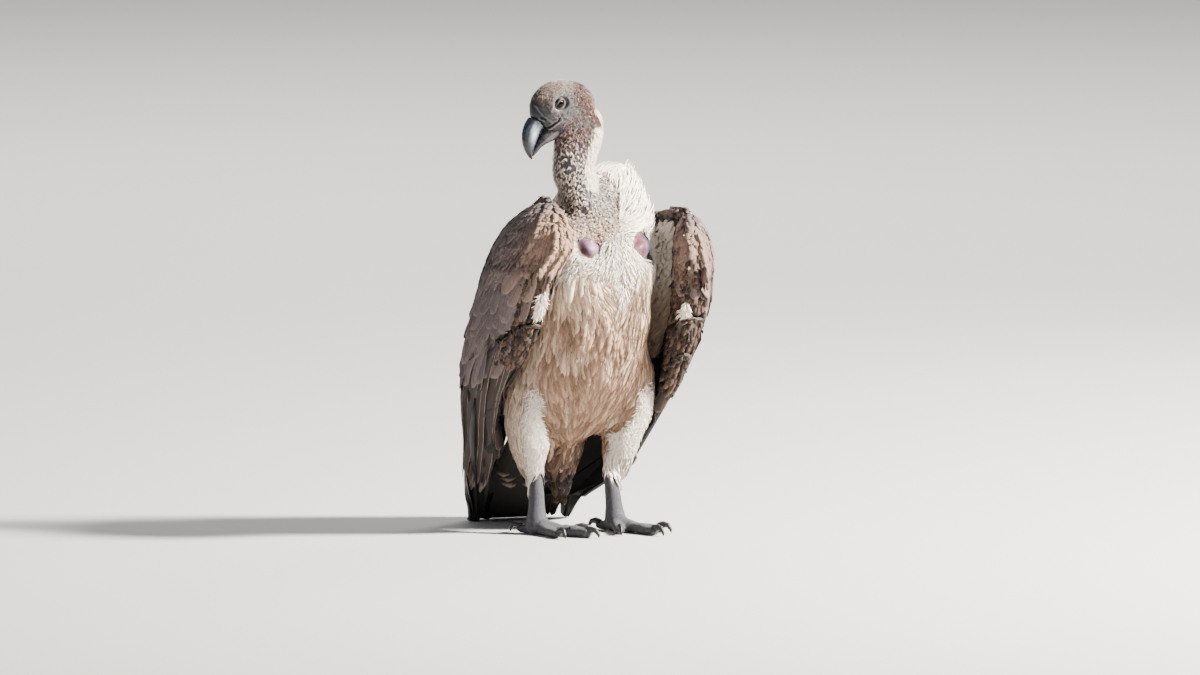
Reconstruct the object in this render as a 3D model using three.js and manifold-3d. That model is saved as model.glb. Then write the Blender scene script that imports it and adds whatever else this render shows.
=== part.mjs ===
// A white-backed vulture that stands upright, with its wings half drooped and its head turned to its right.
// Millimetres, +Z up. The bird faces -Y and its right side is -X. It is built round the point on the floor
// midway between its feet, and at the end the whole bird is shifted so that the origin is the middle of the
// bottom of its box. Solids are the outer shape of the plumage; neighbours keep a thin gap between them.
import * as THREE from "three";
import { mergeVertices } from "three/addons/utils/BufferGeometryUtils.js";
import Module from "manifold-3d";

const wasm = await Module();
wasm.setup();

// ---- Driving dimensions ----
const GAP = 0.5; // left between neighbouring solids
const ORIGIN = [12.4, 45.5]; // x and y of the middle of the bird's box, seen from above
const HEAD_PLACE = [-60, -47, 612.5]; // midway between the eyes
const HEAD_TURN = 90; // degrees to the bird's right, from straight ahead
const HEAD_PITCH = 40; // degrees that the bill points down
const STANCE = 62; // from the middle of the bird to each foot
const FOOT_BACK = 6; // how far behind the origin the feet stand
const TOE_LENGTH = { inner: 62, middle: 92, outer: 74, hind: 36 };
const CLAW_LENGTH = { inner: 30, middle: 30, outer: 25, hind: 30 };
const EYE_RADIUS = 9;
const EYE_PLACE = [-5, 19, 7.5]; // forward, out and up from midway between the eyes

const COLOURS = {
  buff: ["#c9b094", 0.9],
  white: ["#ece3d6", 0.95],
  wing: ["#8a7261", 0.8],
  flight: ["#2b2624", 0.7],
  neck: ["#8b8078", 0.95],
  face: ["#7d7072", 0.85],
  horn: ["#23252b", 0.3],
  eye: ["#120d0b", 0.05],
  scaly: ["#7c7a80", 0.7],
  claw: ["#2c2b30", 0.4],
};

// ---- Curves, rings and solids ----

// Rows of [t, value, value, ...] as a smooth function of t that doesn't overshoot.
function keyed(rows) {
  const slopes = rows.map((row, i) =>
    row.map((value, k) => {
      if (k === 0 || i === 0 || i === rows.length - 1) return 0;
      const before = (value - rows[i - 1][k]) / (row[0] - rows[i - 1][0]);
      const after = (rows[i + 1][k] - value) / (rows[i + 1][0] - row[0]);
      return before * after <= 0 ? 0 : (2 * before * after) / (before + after);
    }),
  );
  return (t) => {
    let i = rows.findIndex((row) => row[0] >= t);
    i = i < 0 ? rows.length - 1 : Math.max(1, i);
    const [a, b] = [rows[i - 1], rows[i]];
    const span = b[0] - a[0];
    const s = Math.min(1, Math.max(0, (t - a[0]) / span));
    const [h1, h2] = [(1 + 2 * s) * (1 - s) ** 2, s * (1 - s) ** 2];
    const [h3, h4] = [s * s * (3 - 2 * s), s * s * (s - 1)];
    return a
      .slice(1)
      .map(
        (value, k) =>
          h1 * value + h2 * span * slopes[i - 1][k + 1] + h3 * b[k + 1] + h4 * span * slopes[i][k + 1],
      );
  };
}

const spaced = (from, to, count) => Array.from({ length: count }, (_, i) => from + ((to - from) * i) / (count - 1));

// A round section: centre + across * cos + along * sin, squarer where power is under 1.
function ring(centre, across, along, sides, power = 1) {
  return Array.from({ length: sides }, (_, j) => {
    const angle = (2 * Math.PI * j) / sides;
    const [c, s] = [Math.cos(angle), Math.sin(angle)].map((v) => Math.sign(v) * Math.abs(v) ** power);
    return centre.clone().addScaledVector(across, c).addScaledVector(along, s);
  });
}

const V = (x, y, z) => new THREE.Vector3(x, y, z);

// A closed solid through rings of equal length, each turning right-handed about the way they go.
function loft(rings) {
  const sides = rings[0].length;
  const points = rings.flat();
  const index = [];
  for (let i = 0; i + 1 < rings.length; i++)
    for (let j = 0; j < sides; j++) {
      const [a, b] = [i * sides + j, i * sides + ((j + 1) % sides)];
      index.push(a, b, b + sides, a, b + sides, a + sides);
    }
  for (const [first, turned] of [[0, true], [(rings.length - 1) * sides, false]]) {
    const middle = V(0, 0, 0);
    for (let j = 0; j < sides; j++) middle.addScaledVector(points[first + j], 1 / sides);
    points.push(middle);
    for (let j = 0; j < sides; j++) {
      const [a, b] = [first + j, first + ((j + 1) % sides)];
      index.push(points.length - 1, ...(turned ? [b, a] : [a, b]));
    }
  }
  const geometry = new THREE.BufferGeometry().setFromPoints(points);
  geometry.setIndex(index);
  return solidOf(geometry);
}

function solidOf(geometry) {
  const bare = geometry.clone();
  bare.deleteAttribute("normal");
  bare.deleteAttribute("uv");
  const merged = mergeVertices(bare, 1e-4);
  return new wasm.Manifold(
    new wasm.Mesh({
      numProp: 3,
      vertProperties: new Float32Array(merged.attributes.position.array),
      triVerts: new Uint32Array(merged.index.array),
    }),
  );
}

function geometryOf(solid) {
  const mesh = solid.getMesh();
  const positions = new Float32Array(mesh.numVert * 3);
  for (let i = 0; i < mesh.numVert; i++)
    positions.set(mesh.vertProperties.subarray(i * mesh.numProp, i * mesh.numProp + 3), i * 3);
  const geometry = new THREE.BufferGeometry().setAttribute("position", new THREE.BufferAttribute(positions, 3));
  geometry.setIndex(new THREE.BufferAttribute(mesh.triVerts, 1));
  geometry.computeVertexNormals();
  return geometry;
}

// The solid less its neighbours, without the crumbs that a cut leaves.
function cut(solid, ...others) {
  const left = others.reduce((rest, other) => rest.subtract(other), solid);
  return left.decompose().reduce((a, b) => (b.volume() > a.volume() ? b : a));
}

// A tube through rows of [x, y, z, across, along]: across is measured sideways, along towards `front`.
function tube(rows, front, sides, steps, grow = 0, power = 1) {
  const at = keyed(rows.map((row, i) => [i / (rows.length - 1), ...row]));
  return loft(
    spaced(0, 1, steps).map((t) => {
      const [x, y, z, across, along] = at(t);
      const [before, after] = [at(Math.max(0, t - 0.01)), at(Math.min(1, t + 0.01))];
      const way = V(after[0] - before[0], after[1] - before[1], after[2] - before[2]).normalize();
      const facing = (typeof front === "function" ? front(t) : front).clone();
      facing.addScaledVector(way, -facing.dot(way)).normalize();
      const side = facing.clone().cross(way);
      const end = t === 0 ? -grow : t === 1 ? grow : 0;
      return ring(
        V(x, y, z).addScaledVector(way, end),
        side.multiplyScalar(across + grow),
        facing.multiplyScalar(along + grow),
        sides,
        power,
      );
    }),
  );
}

const degrees = Math.PI / 180;

// ---- Trunk: level sections from the vent up to the shoulders ----
const TRUNK = keyed([
  // height, half width, front, back
  [126, 18, 18, 52],
  [134, 38, 4, 78],
  [160, 66, -26, 98],
  [195, 84, -64, 108],
  [230, 92, -92, 108],
  [270, 97, -106, 102],
  [310, 101, -117, 94],
  [350, 104, -126, 84],
  [385, 106, -130, 70],
  [415, 107, -124, 54],
  [440, 104, -104, 40],
  [458, 88, -82, 26],
  [468, 52, -58, 4],
]);
const SHOULDER_TURN = 8; // degrees that the left shoulder is held back

function trunk(grow = 0) {
  const levels = [126, 138, 175, 212, 255, 305, 350, 388, 420, 443, 458, 468];
  return loft(
    levels.map((z, i) => {
      const [half, front, back] = TRUNK(z);
      const turn = SHOULDER_TURN * degrees * Math.min(1, Math.max(0, (z - 280) / 120));
      const edge = i === 0 ? -grow : i === levels.length - 1 ? grow : 0;
      const across = V(Math.cos(turn), Math.sin(turn), 0).multiplyScalar(half + grow);
      const along = V(0, (back - front) / 2 + grow, 0);
      return ring(V(0, (front + back) / 2, z + edge), across, along, 20, 0.92);
    }),
  );
}

// ---- Neck: an S from the breast up to the skull, its front turning from the breast to the head's way ----
const NECK = [
  // x, y, z, half width, half depth
  [8, -86, 410, 38, 36],
  [3, -64, 440, 38, 38],
  [-9, -47, 468, 35, 37],
  [-22, -41, 497, 32, 37],
  [-27, -43, 525, 31, 38],
  [-24, -45, 550, 29, 40],
  [-19, -46, 572, 28, 40],
  [-25, -46, 595, 24, 36],
];
const NECK_SPLIT = 500; // height of the cut between its two lengths

function neck(grow = 0) {
  const front = (t) => V(-Math.sin(t * 90 * degrees), -Math.cos(t * 90 * degrees), 0);
  return tube(NECK, front, 14, 11, grow);
}

// ---- Ruff: the dome of down behind and to the left of the neck ----
const RUFF = [
  [16, -24, 420, 92, 60],
  [28, -20, 450, 86, 58],
  [38, -16, 480, 75, 54],
  [45, -12, 505, 56, 45],
  [48, -8, 521, 37, 29],
  [48, -6, 531, 12, 9],
];

function ruff(grow = 0) {
  return tube(RUFF, V(0, -1, 0), 16, 7, grow);
}

// ---- Head: sections along its own forward axis; forward, left and up from midway between the eyes ----
const headFrame = new THREE.Matrix4().makeRotationFromEuler(
  new THREE.Euler(0, HEAD_PITCH * degrees, -(90 + HEAD_TURN) * degrees, "ZYX"),
);
headFrame.setPosition(...HEAD_PLACE);
const inHead = (forward, left, up) => V(forward, left, up).applyMatrix4(headFrame);

const SKULL = keyed([
  // forward, top, bottom, half width
  [-57, -10, -26, 8],
  [-53, 1, -34, 17],
  [-45, 14, -42, 24.5],
  [-36, 25, -46, 27.5],
  [-22, 33.5, -47, 29.5],
  [-6, 37.5, -47, 29.5],
  [10, 36, -44, 27],
  [20, 32, -38, 23],
  [26, 27, -34, 19.5],
  [31, 20, -31, 16.5],
]);

// Sections square to the head's axis.
function headSections(shape, stations, sides, grow = 0, power = 1) {
  return loft(
    stations.map((forward, i) => {
      const [top, bottom, half] = shape(forward);
      const edge = i === 0 ? -grow : i === stations.length - 1 ? grow : 0;
      const centre = inHead(forward + edge, 0, (top + bottom) / 2);
      const across = inHead(0, half + grow, 0).sub(inHead(0, 0, 0));
      const along = inHead(0, 0, (top - bottom) / 2 + grow).sub(inHead(0, 0, 0));
      return ring(centre, across, along, sides, power);
    }),
  );
}

const skull = (grow = 0) =>
  headSections(SKULL, [-57, -54, -48, -38, -23, -6, 10, 22, 31], 16, grow, 0.95);

// An egg shape in the head's own axes.
function egg(place, radii, tilt = 0, across = 12, down = 7) {
  const geometry = new THREE.SphereGeometry(1, across, down);
  geometry.scale(...radii);
  geometry.rotateY(tilt * degrees);
  geometry.translate(...place);
  geometry.applyMatrix4(headFrame);
  return solidOf(geometry);
}

const sides = [["left", 1], ["right", -1]];
const eye = (side, grow = 0) => egg([EYE_PLACE[0], side * EYE_PLACE[1], EYE_PLACE[2]], Array(3).fill(EYE_RADIUS + grow));
const socket = (side) => egg([EYE_PLACE[0], side * 33, EYE_PLACE[2] - 0.5], [10, 8, 8.5], 0, 10, 6);
const brow = (side) => egg([1, side * 23, 18], [17, 6, 4.2], 14, 8, 6);

// ---- Bill: horn sections between the ridge above and the cutting edge below ----
const UPPER_BILL = [
  // ridge forward and up, edge forward and up, half width
  [35, 15.5, 30, -8.5, 15],
  [42, 14, 38, -10.5, 14.2],
  [50, 10.8, 46, -13.5, 13],
  [58, 5.5, 53, -17.5, 11.2],
  [65, -2, 59, -21, 9],
  [70, -11, 63.5, -24.5, 6.6],
  [72.5, -20, 67, -27.5, 4.2],
  [73, -27.5, 69.5, -30.5, 2],
  [71.8, -32.5, 71, -32.8, 0.8],
];
const CERE = [
  [18, 25, 16, -8, 19.5],
  [24, 23.5, 21, -8.5, 18.2],
  [30, 19.5, 26, -8.8, 16.4],
  [36.5, 15.2, 32, -9.2, 14.6],
];
const LOWER_BILL = [
  [18, -9.5, 16, -36, 17],
  [28, -10, 27, -33.5, 15.5],
  [38, -12, 37, -31, 13],
  [46, -15, 45, -28.8, 10.5],
  [53, -18.2, 51.5, -28, 8],
  [60, -22, 57.5, -29.2, 5.4],
  [65, -25.8, 63, -30, 3],
  [68, -28.6, 67, -30.6, 1.2],
];

function horn(rows, sidesOfIt, steps, grow = 0) {
  const at = keyed(rows.map((row, i) => [i / (rows.length - 1), ...row]));
  return loft(
    spaced(0, 1, steps).map((t, i) => {
      const [topForward, topUp, edgeForward, edgeUp, half] = at(t);
      const edge = i === 0 ? -grow : i === steps - 1 ? grow : 0;
      const top = inHead(topForward + edge, 0, topUp);
      const bottom = inHead(edgeForward + edge, 0, edgeUp);
      const along = top.clone().sub(bottom).multiplyScalar(0.5);
      along.setLength(along.length() + grow);
      const across = inHead(0, half + grow, 0).sub(inHead(0, 0, 0));
      return ring(top.add(bottom).multiplyScalar(0.5), across, along, sidesOfIt, 0.9);
    }),
  );
}

// ---- Legs ----
const THIGH = {
  right: [
    // x, y, z, half width, half depth
    [-62, -5, 262, 34, 44],
    [-73, -2, 215, 39, 47],
    [-74, 8, 170, 39, 43],
    [-71, 14, 135, 33, 38],
    [-66, 26, 108, 24, 30],
    [-63, 38, 88, 14, 21],
    [-62, 46, 72, 5, 8],
  ],
  left: [
    [66, -8, 262, 34, 44],
    [79, -4, 215, 42, 47],
    [79, 3, 176, 40, 43],
    [74, 9, 142, 31, 38],
    [74, 12, 112, 24, 28],
    [79, 14, 90, 15, 17],
    [84, 16, 72, 5, 7],
  ],
};
const HEEL = { right: [-57, 20, 122], left: [57, 22, 126] };
const FOOT_YAW = { right: 30, left: 14 }; // degrees that each foot points to the bird's left of straight ahead
const TOE_SPLAY = { inner: 33, middle: 0, outer: -27, hind: 172 }; // from the middle toe, towards the other foot
const INSTEP = 9; // how much higher the toes start than they rest
const TOE_BASE_RADIUS = { inner: 9.6, middle: 10.4, outer: 9, hind: 9.4 };

const footOf = (name) => [name === "right" ? -STANCE : STANCE, FOOT_BACK];
const thigh = (name, grow = 0) => tube(THIGH[name], V(0, -1, 0), 13, 9, grow);

// The tarsus, from inside the trousers down to the knuckle where the toes meet.
function tarsus(name, grow = 0) {
  const [x, y] = footOf(name);
  const [hx, hy, hz] = HEEL[name];
  const at = (t, across, along) => [x + (hx - x) * t, y + (hy - y) * t, 14 + (hz - 14) * t, across, along];
  const rows = [at(1, 14, 15), at(0.8, 13, 14), at(0.5, 12.3, 13.3), at(0.25, 12.5, 13.5), at(0.08, 15, 16), at(-0.04, 15.5, 16.5), at(-0.13, 9, 10)];
  return aboveFloor(tube(rows, V(0, -1, 0), 10, 8, grow));
}

// What of a solid is above the floor, which leaves a small flat where it presses on it.
const aboveFloor = (solid) => solid.trimByPlane([0, 0, 1], 0);

function toeWay(foot, toe) {
  const towardsOther = foot === "right" ? 1 : -1;
  const angle = (FOOT_YAW[foot] + towardsOther * TOE_SPLAY[toe]) * degrees;
  return V(Math.sin(angle), -Math.cos(angle), 0);
}

// A toe: a slightly arched tube with a pad under each joint.
function toe(foot, name, grow = 0) {
  const [x, y] = footOf(foot);
  const way = toeWay(foot, name);
  const radius = TOE_BASE_RADIUS[name];
  const length = TOE_LENGTH[name];
  const pads = name === "hind" ? 2 : 3;
  const rows = spaced(0, 1, 2 * pads + 1).map((t) => {
    const swell = 1 + 0.09 * Math.cos(2 * Math.PI * pads * t);
    const r = radius * (1 - 0.28 * t) * swell;
    const height = radius * (0.9 - 0.22 * t) + INSTEP * Math.max(0, 1 - 2.2 * t) ** 1.5;
    return [x + way.x * length * t, y + way.y * length * t, height, r, r * 0.96];
  });
  return aboveFloor(tube(rows, V(0, 0, 1), 8, rows.length, grow));
}

// A claw: a hook that leaves the toe's end, arches over and comes down to the floor.
function claw(foot, name, grow = 0) {
  const [x, y] = footOf(foot);
  const way = toeWay(foot, name);
  const start = TOE_LENGTH[name] - 6;
  const length = CLAW_LENGTH[name];
  const rows = spaced(0, 1, 7).map((t) => {
    const turn = t * 95 * degrees;
    const out = start + length * 0.8 * Math.sin(turn) * 0.95;
    const height = 9.5 + 4.5 * Math.sin(Math.PI * Math.min(1, 1.25 * t)) - 9 * t * t;
    return [x + way.x * out, y + way.y * out, height, 4.6 * (1 - t) ** 0.8 + 0.3, 5.4 * (1 - t) ** 0.75 + 0.3];
  });
  return aboveFloor(tube(rows, V(0, 0, 1), 7, 5, grow));
}

// ---- Wings: level sections of a blade with a thick round front edge ----
const WING_LEVELS = [6, 36, 79, 120, 165, 207, 247, 295, 343, 385, 420, 443, 460, 474, 486];
const WING = {
  right: keyed([
    // height, front edge's centre, outermost point, back edge, front radius, back half thickness
    [6, -56, 206, -62, 226, -41, 236, 2.5, 1.5],
    [36, -72, 165, -82, 206, -34, 234, 5, 2.5],
    [79, -88, 118, -97, 176, -28, 221, 6.5, 3],
    [120, -102, 62, -106, 150, -22, 204, 8, 3.5],
    [165, -116, 39, -118, 124, -16, 186, 10, 4],
    [207, -122, 7, -131, 100, -12, 168, 13, 4.5],
    [247, -121, -34, -138, 82, -10, 152, 17, 5],
    [295, -118, -76, -140, 56, -12, 132, 22, 5],
    [343, -115, -97, -137, 30, -16, 110, 26, 6],
    [385, -111, -118, -136, 4, -24, 86, 28, 7],
    [420, -93, -124, -132, -24, -36, 58, 29, 8],
    [440, -88, -119, -127, -40, -50, 30, 28, 8],
    [458, -86, -110, -119, -54, -64, 4, 24, 8],
    [472, -84, -98, -108, -64, -74, -20, 18, 7],
    [486, -83, -84, -92, -72, -80, -52, 5, 3],
  ]),
  left: keyed([
    [36, 72, 140, 68, 190, 44, 216, 5, 2.5],
    [79, 92, 50, 98, 150, 28, 210, 7, 3],
    [120, 106, 23, 116, 128, 22, 200, 8, 3.5],
    [165, 117, -12, 131, 104, 16, 184, 10, 4],
    [207, 122, -42, 143, 84, 12, 168, 15, 4.5],
    [247, 127, -62, 150, 66, 10, 152, 21, 5],
    [295, 132, -77, 154, 42, 12, 132, 27, 6],
    [343, 136, -87, 156, 18, 16, 110, 30, 7],
    [385, 135, -92, 158, -6, 24, 86, 31.5, 8],
    [412, 134, -92, 154, -30, 36, 54, 30, 9],
    [434, 133, -91, 149, -50, 58, 16, 26, 9],
    [452, 133, -89, 143, -66, 92, -26, 17, 7],
    [464, 132, -87, 136, -76, 116, -58, 5, 3],
  ]),
};
const WING_FOOT = { right: 6, left: 36 }; // how high each wing's tip ends
const WING_TOP = { right: 486, left: 464 };

function wing(name, grow = 0) {
  const turn = name === "right" ? -1 : 1; // which way round the outline runs
  const shape = WING[name];
  const [low, high] = [WING_LEVELS[0], WING_LEVELS.at(-1)];
  const rings = WING_LEVELS.map((level, i) => {
    const part = (level - low) / (high - low);
    const z = WING_FOOT[name] + part * (WING_TOP[name] - WING_FOOT[name]);
    const [nx, ny, mx, my, bx, by, radius, back] = shape(z);
    const edge = i === 0 ? -grow : i === WING_LEVELS.length - 1 ? grow : 0;
    // The middle line is the curve through the front, outermost and back points.
    const line = (s) => {
      const [p, q, r] = [2 * (s - 0.5) * (s - 1), -4 * s * (s - 1), 2 * s * (s - 0.5)];
      return [p * nx + q * mx + r * bx, p * ny + q * my + r * by];
    };
    const offset = (s, sign) => {
      const [[x0, y0], [x1, y1]] = [line(s - 0.01), line(s + 0.01)];
      const long = Math.hypot(x1 - x0, y1 - y0);
      const thick = back + (radius - back) * Math.max(0, 1 - s * 1.15) ** 1.3 + grow;
      const [x, y] = line(s);
      return V(x + (sign * thick * (y1 - y0)) / long, y - (sign * thick * (x1 - x0)) / long, z + edge);
    };
    const nose = (angle) => {
      const [[x0, y0], [x1, y1]] = [line(0), line(0.02)];
      const long = Math.hypot(x1 - x0, y1 - y0);
      const [dx, dy] = [(x1 - x0) / long, (y1 - y0) / long];
      const r = radius + grow;
      const [c, s] = [Math.cos(angle) * r, Math.sin(angle) * r];
      return V(nx - dx * c + s * dy, ny - dy * c - s * dx, z + edge);
    };
    const points = [
      ...[1, 0.78, 0.56, 0.34, 0.12].map((s) => offset(s, turn)),
      ...[75, 30, -15, -60].map((a) => nose(turn * a * degrees)),
      ...[0.08, 0.4, 0.7, 1].map((s) => offset(s, -turn)),
    ];
    return points;
  });
  return loft(rings.map((points) => (name === "right" ? points : points.toReversed())));
}

// ---- Tail: a wedge of feathers whose tips rest on the floor ----
const TAIL = [
  // x, y, z, half width, half thickness
  [0, 84, 196, 32, 15],
  [0, 122, 150, 42, 12],
  [0, 162, 104, 50, 9],
  [0, 200, 56, 54, 6],
  [0, 229, 18, 52, 4],
  [0, 241, -2, 42, 3],
];
const tail = (grow = 0) => aboveFloor(tube(TAIL, V(0, -1, -1), 14, 8, grow, 0.8));

// The long soft feathers under the tail, which hang behind the legs.
const UNDERTAIL = [
  [0, 42, 158, 40, 26],
  [4, 60, 118, 36, 22],
  [8, 74, 84, 28, 16],
  [12, 84, 56, 16, 9],
  [14, 88, 42, 5, 3],
];
const undertail = (grow = 0) => tube(UNDERTAIL, V(0, -1, -0.2), 12, 7, grow);

// ---- The bird, each solid in its own named mesh ----
const bird = new THREE.Group();
bird.name = "white_backed_vulture";
const materials = Object.fromEntries(
  Object.entries(COLOURS).map(([name, [color, roughness]]) => [
    name,
    new THREE.MeshStandardMaterial({ color, roughness, metalness: 0 }),
  ]),
);

function add(name, solid, material) {
  const mesh = new THREE.Mesh(geometryOf(solid), materials[material]);
  mesh.name = name;
  bird.add(mesh);
}

// Head and bill
const upperBill = horn(UPPER_BILL, 12, 11);
const upperBillRoom = horn(UPPER_BILL, 12, 11, GAP);
const cere = cut(horn(CERE, 14, 5), upperBillRoom);
const cereRoom = horn(CERE, 14, 5, GAP);
const lowerBill = cut(horn(LOWER_BILL, 10, 8), upperBillRoom, cereRoom);
const lowerBillRoom = horn(LOWER_BILL, 10, 8, GAP);
const withBrows = sides.reduce((solid, [, side]) => solid.add(brow(side)), skull());
const sockets = sides.flatMap(([, side]) => [socket(side), eye(side, GAP)]);
const head = cut(withBrows, upperBillRoom, cereRoom, lowerBillRoom, ...sockets);
add("head", head, "face");
add("cere", cere, "horn");
add("bill_upper", upperBill, "horn");
add("bill_lower", lowerBill, "horn");
for (const [name, side] of sides) add("eye_" + name, eye(side), "eye");

// Neck, ruff and trunk
const headRoom = skull(GAP).add(lowerBillRoom);
const neckRoom = neck(GAP);
const neckSolid = cut(neck(), headRoom);
add("neck_upper", cut(neckSolid.trimByPlane([0, 0, 1], NECK_SPLIT + GAP / 2)), "neck");
add("neck_lower", cut(neckSolid.trimByPlane([0, 0, -1], -NECK_SPLIT + GAP / 2)), "neck");
const ruffSolid = cut(ruff(), neckRoom, headRoom);
const ruffRoom = ruff(GAP);
add("ruff", ruffSolid, "white");
add("trunk", cut(trunk(), ruffRoom, neckRoom), "buff");

// Tail and what hangs under it
const trunkRoom = trunk(GAP);
const tailRoom = tail(GAP);
add("tail", cut(tail(), trunkRoom), "flight");
add("undertail", cut(undertail(), trunkRoom, tailRoom), "buff");

// Legs
const undertailRoom = undertail(GAP);
const thighRooms = sides.map(([name]) => thigh(name, GAP));
for (const [name] of sides) {
  const tarsusRoom = tarsus(name, GAP);
  add("thigh_" + name, cut(thigh(name), trunkRoom, tailRoom, undertailRoom), "white");
  add("tarsus_" + name, cut(tarsus(name), thigh(name, GAP)), "scaly");
  const done = [];
  for (const toeName of Object.keys(TOE_LENGTH)) {
    const clawRoom = claw(name, toeName, GAP);
    add(`toe_${name}_${toeName}`, cut(toe(name, toeName), tarsusRoom, clawRoom, ...done), "scaly");
    add(`claw_${name}_${toeName}`, claw(name, toeName), "claw");
    done.push(toe(name, toeName, GAP));
  }
}

// Wings, each parted into the arm with its coverts, the secondaries and the tips of the primaries
const ARM_CUT = [0, 0.5, 1]; // the way the cut below the coverts faces
const ARM_LEVEL = 262;
const TIP_CUT = [0, 0.75, 1];
const TIP_LEVEL = 196;
for (const [name] of sides) {
  const whole = cut(wing(name), trunkRoom, ruffRoom, neckRoom, tailRoom, ...thighRooms);
  const part = (way, level, sign) => {
    const long = Math.hypot(...way);
    return [way.map((v) => (sign * v) / long), (sign * level) / long + GAP / 2];
  };
  const below = whole.trimByPlane(...part(ARM_CUT, ARM_LEVEL, -1));
  add(`wing_${name}_arm`, cut(whole.trimByPlane(...part(ARM_CUT, ARM_LEVEL, 1))), "wing");
  add(`wing_${name}_secondaries`, cut(below.trimByPlane(...part(TIP_CUT, TIP_LEVEL, 1))), "flight");
  add(`wing_${name}_primaries`, cut(below.trimByPlane(...part(TIP_CUT, TIP_LEVEL, -1))), "flight");
}

bird.position.set(-ORIGIN[0], -ORIGIN[1], 0);

export default bird;
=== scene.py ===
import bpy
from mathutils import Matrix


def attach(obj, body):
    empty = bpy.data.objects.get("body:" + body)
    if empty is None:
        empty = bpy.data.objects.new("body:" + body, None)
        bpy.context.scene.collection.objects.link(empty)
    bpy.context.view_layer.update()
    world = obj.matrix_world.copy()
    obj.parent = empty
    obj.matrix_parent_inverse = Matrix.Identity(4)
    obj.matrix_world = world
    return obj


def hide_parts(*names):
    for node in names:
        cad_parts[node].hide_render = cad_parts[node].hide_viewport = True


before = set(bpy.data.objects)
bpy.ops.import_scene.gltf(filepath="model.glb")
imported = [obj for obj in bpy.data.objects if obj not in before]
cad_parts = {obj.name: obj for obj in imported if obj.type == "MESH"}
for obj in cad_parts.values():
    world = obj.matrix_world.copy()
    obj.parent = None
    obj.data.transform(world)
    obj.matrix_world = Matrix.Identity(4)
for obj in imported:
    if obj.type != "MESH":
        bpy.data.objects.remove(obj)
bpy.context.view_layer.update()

import math
import bpy
import numpy as np
from mathutils import Vector
from mathutils.bvhtree import BVHTree

# ---- Camera, floor and lights ----
# A long lens looks five degrees down on the bird's right front. The floor is a pale matt sheet. The key is a
# warm lamp high on the camera's right, with a broad weak fill on the left, a rim lamp and a lit backdrop.
FEET_MIDDLE = np.array([-12.4, -45.5, 0.0])  # millimetres: the point between the feet, in the frame's axes
AZIMUTH, ELEVATION = math.radians(-25), math.radians(5)
LENS, SENSOR = 500, 36
CAMERA_AWAY = 23810  # millimetres, as far as so long a lens has to stand
AIM_RIGHT, AIM_UP = 31.4, 279.3  # millimetres from the point between the feet
LAMP_AIM_UP = 330
level = math.cos(ELEVATION)
to_camera = np.array([math.sin(AZIMUTH) * level, -math.cos(AZIMUTH) * level, math.sin(ELEVATION)])
to_right = np.array([math.cos(AZIMUTH), math.sin(AZIMUTH), 0.0])
to_top = np.cross(to_camera, to_right)


def place(point_mm):
    return Vector((np.asarray(point_mm, float) + FEET_MIDDLE) * 0.001)


camera_data = bpy.data.cameras.new("camera")
camera_data.lens = LENS
camera_data.sensor_width = SENSOR
camera = bpy.data.objects.new("camera", camera_data)
bpy.context.collection.objects.link(camera)
camera.location = place(to_right * AIM_RIGHT + to_top * AIM_UP + to_camera * CAMERA_AWAY)
camera.rotation_euler = Vector(-to_camera).to_track_quat("-Z", "Y").to_euler()
camera_data.clip_end = 100
bpy.context.scene.camera = camera


def lamp(name, right, top, near, size, power, colour, behind=0.0):
    """A square lamp, placed in metres from the bird and aimed at it, or at a place some mm behind it."""
    data = bpy.data.lights.new(name, "AREA")
    data.size = size
    data.energy = power
    data.color = colour
    lamp_object = bpy.data.objects.new(name, data)
    bpy.context.collection.objects.link(lamp_object)
    aim = to_top * LAMP_AIM_UP - to_camera * behind
    start = to_top * LAMP_AIM_UP + (to_right * right + to_top * top + to_camera * near) * 1000
    lamp_object.location = place(start)
    lamp_object.rotation_euler = Vector(aim - start).to_track_quat("-Z", "Y").to_euler()


lamp("key", 3.5, 2.4, 1.0, 0.6, 2000, (1.0, 0.95, 0.87))
lamp("fill", -2.6, 0.8, 2.2, 2.4, 24, (0.80, 0.88, 1.0))
lamp("rim", 1.6, 1.8, -2.4, 1.2, 90, (1.0, 0.97, 0.93))
lamp("backdrop", 0.0, 5.0, -6.0, 5.0, 900, (1.0, 0.98, 0.96), 8500)
world = bpy.data.worlds.new("studio")
bpy.context.scene.world = world
world.use_nodes = True
world.node_tree.nodes["Background"].inputs["Color"].default_value = (0.80, 0.83, 0.88, 1)
world.node_tree.nodes["Background"].inputs["Strength"].default_value = 0.28

bpy.ops.object.select_all(action="DESELECT")
bpy.ops.mesh.primitive_plane_add(size=110, location=(0, 0, 0))
floor = bpy.context.object
floor.name = "floor"
floor_material = bpy.data.materials.new("floor")
floor_material.use_nodes = True
floor_shader = floor_material.node_tree.nodes["Principled BSDF"]
floor_shader.inputs["Base Color"].default_value = (0.45, 0.445, 0.435, 1)
floor_shader.inputs["Roughness"].default_value = 0.9
floor.data.materials.append(floor_material)

# ---- Skin ----
# One skin runs from the cere to the toes, as a taxidermist draws a whole skin over a form. It starts as the
# solids of flesh grown into each other, and sinks under the plumage by the depth of the feathers there.
rng = np.random.default_rng(7)
SIDES = ("left", "right")
TOES = ("inner", "middle", "outer", "hind")
FLESH = ["head", "cere", "neck_upper", "neck_lower", "ruff", "trunk", "undertail"]
FLESH += [f"{part}_{side}" for part in ("thigh", "tarsus") for side in SIDES]
FLESH += [f"toe_{side}_{toe}" for side in SIDES for toe in TOES]


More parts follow.
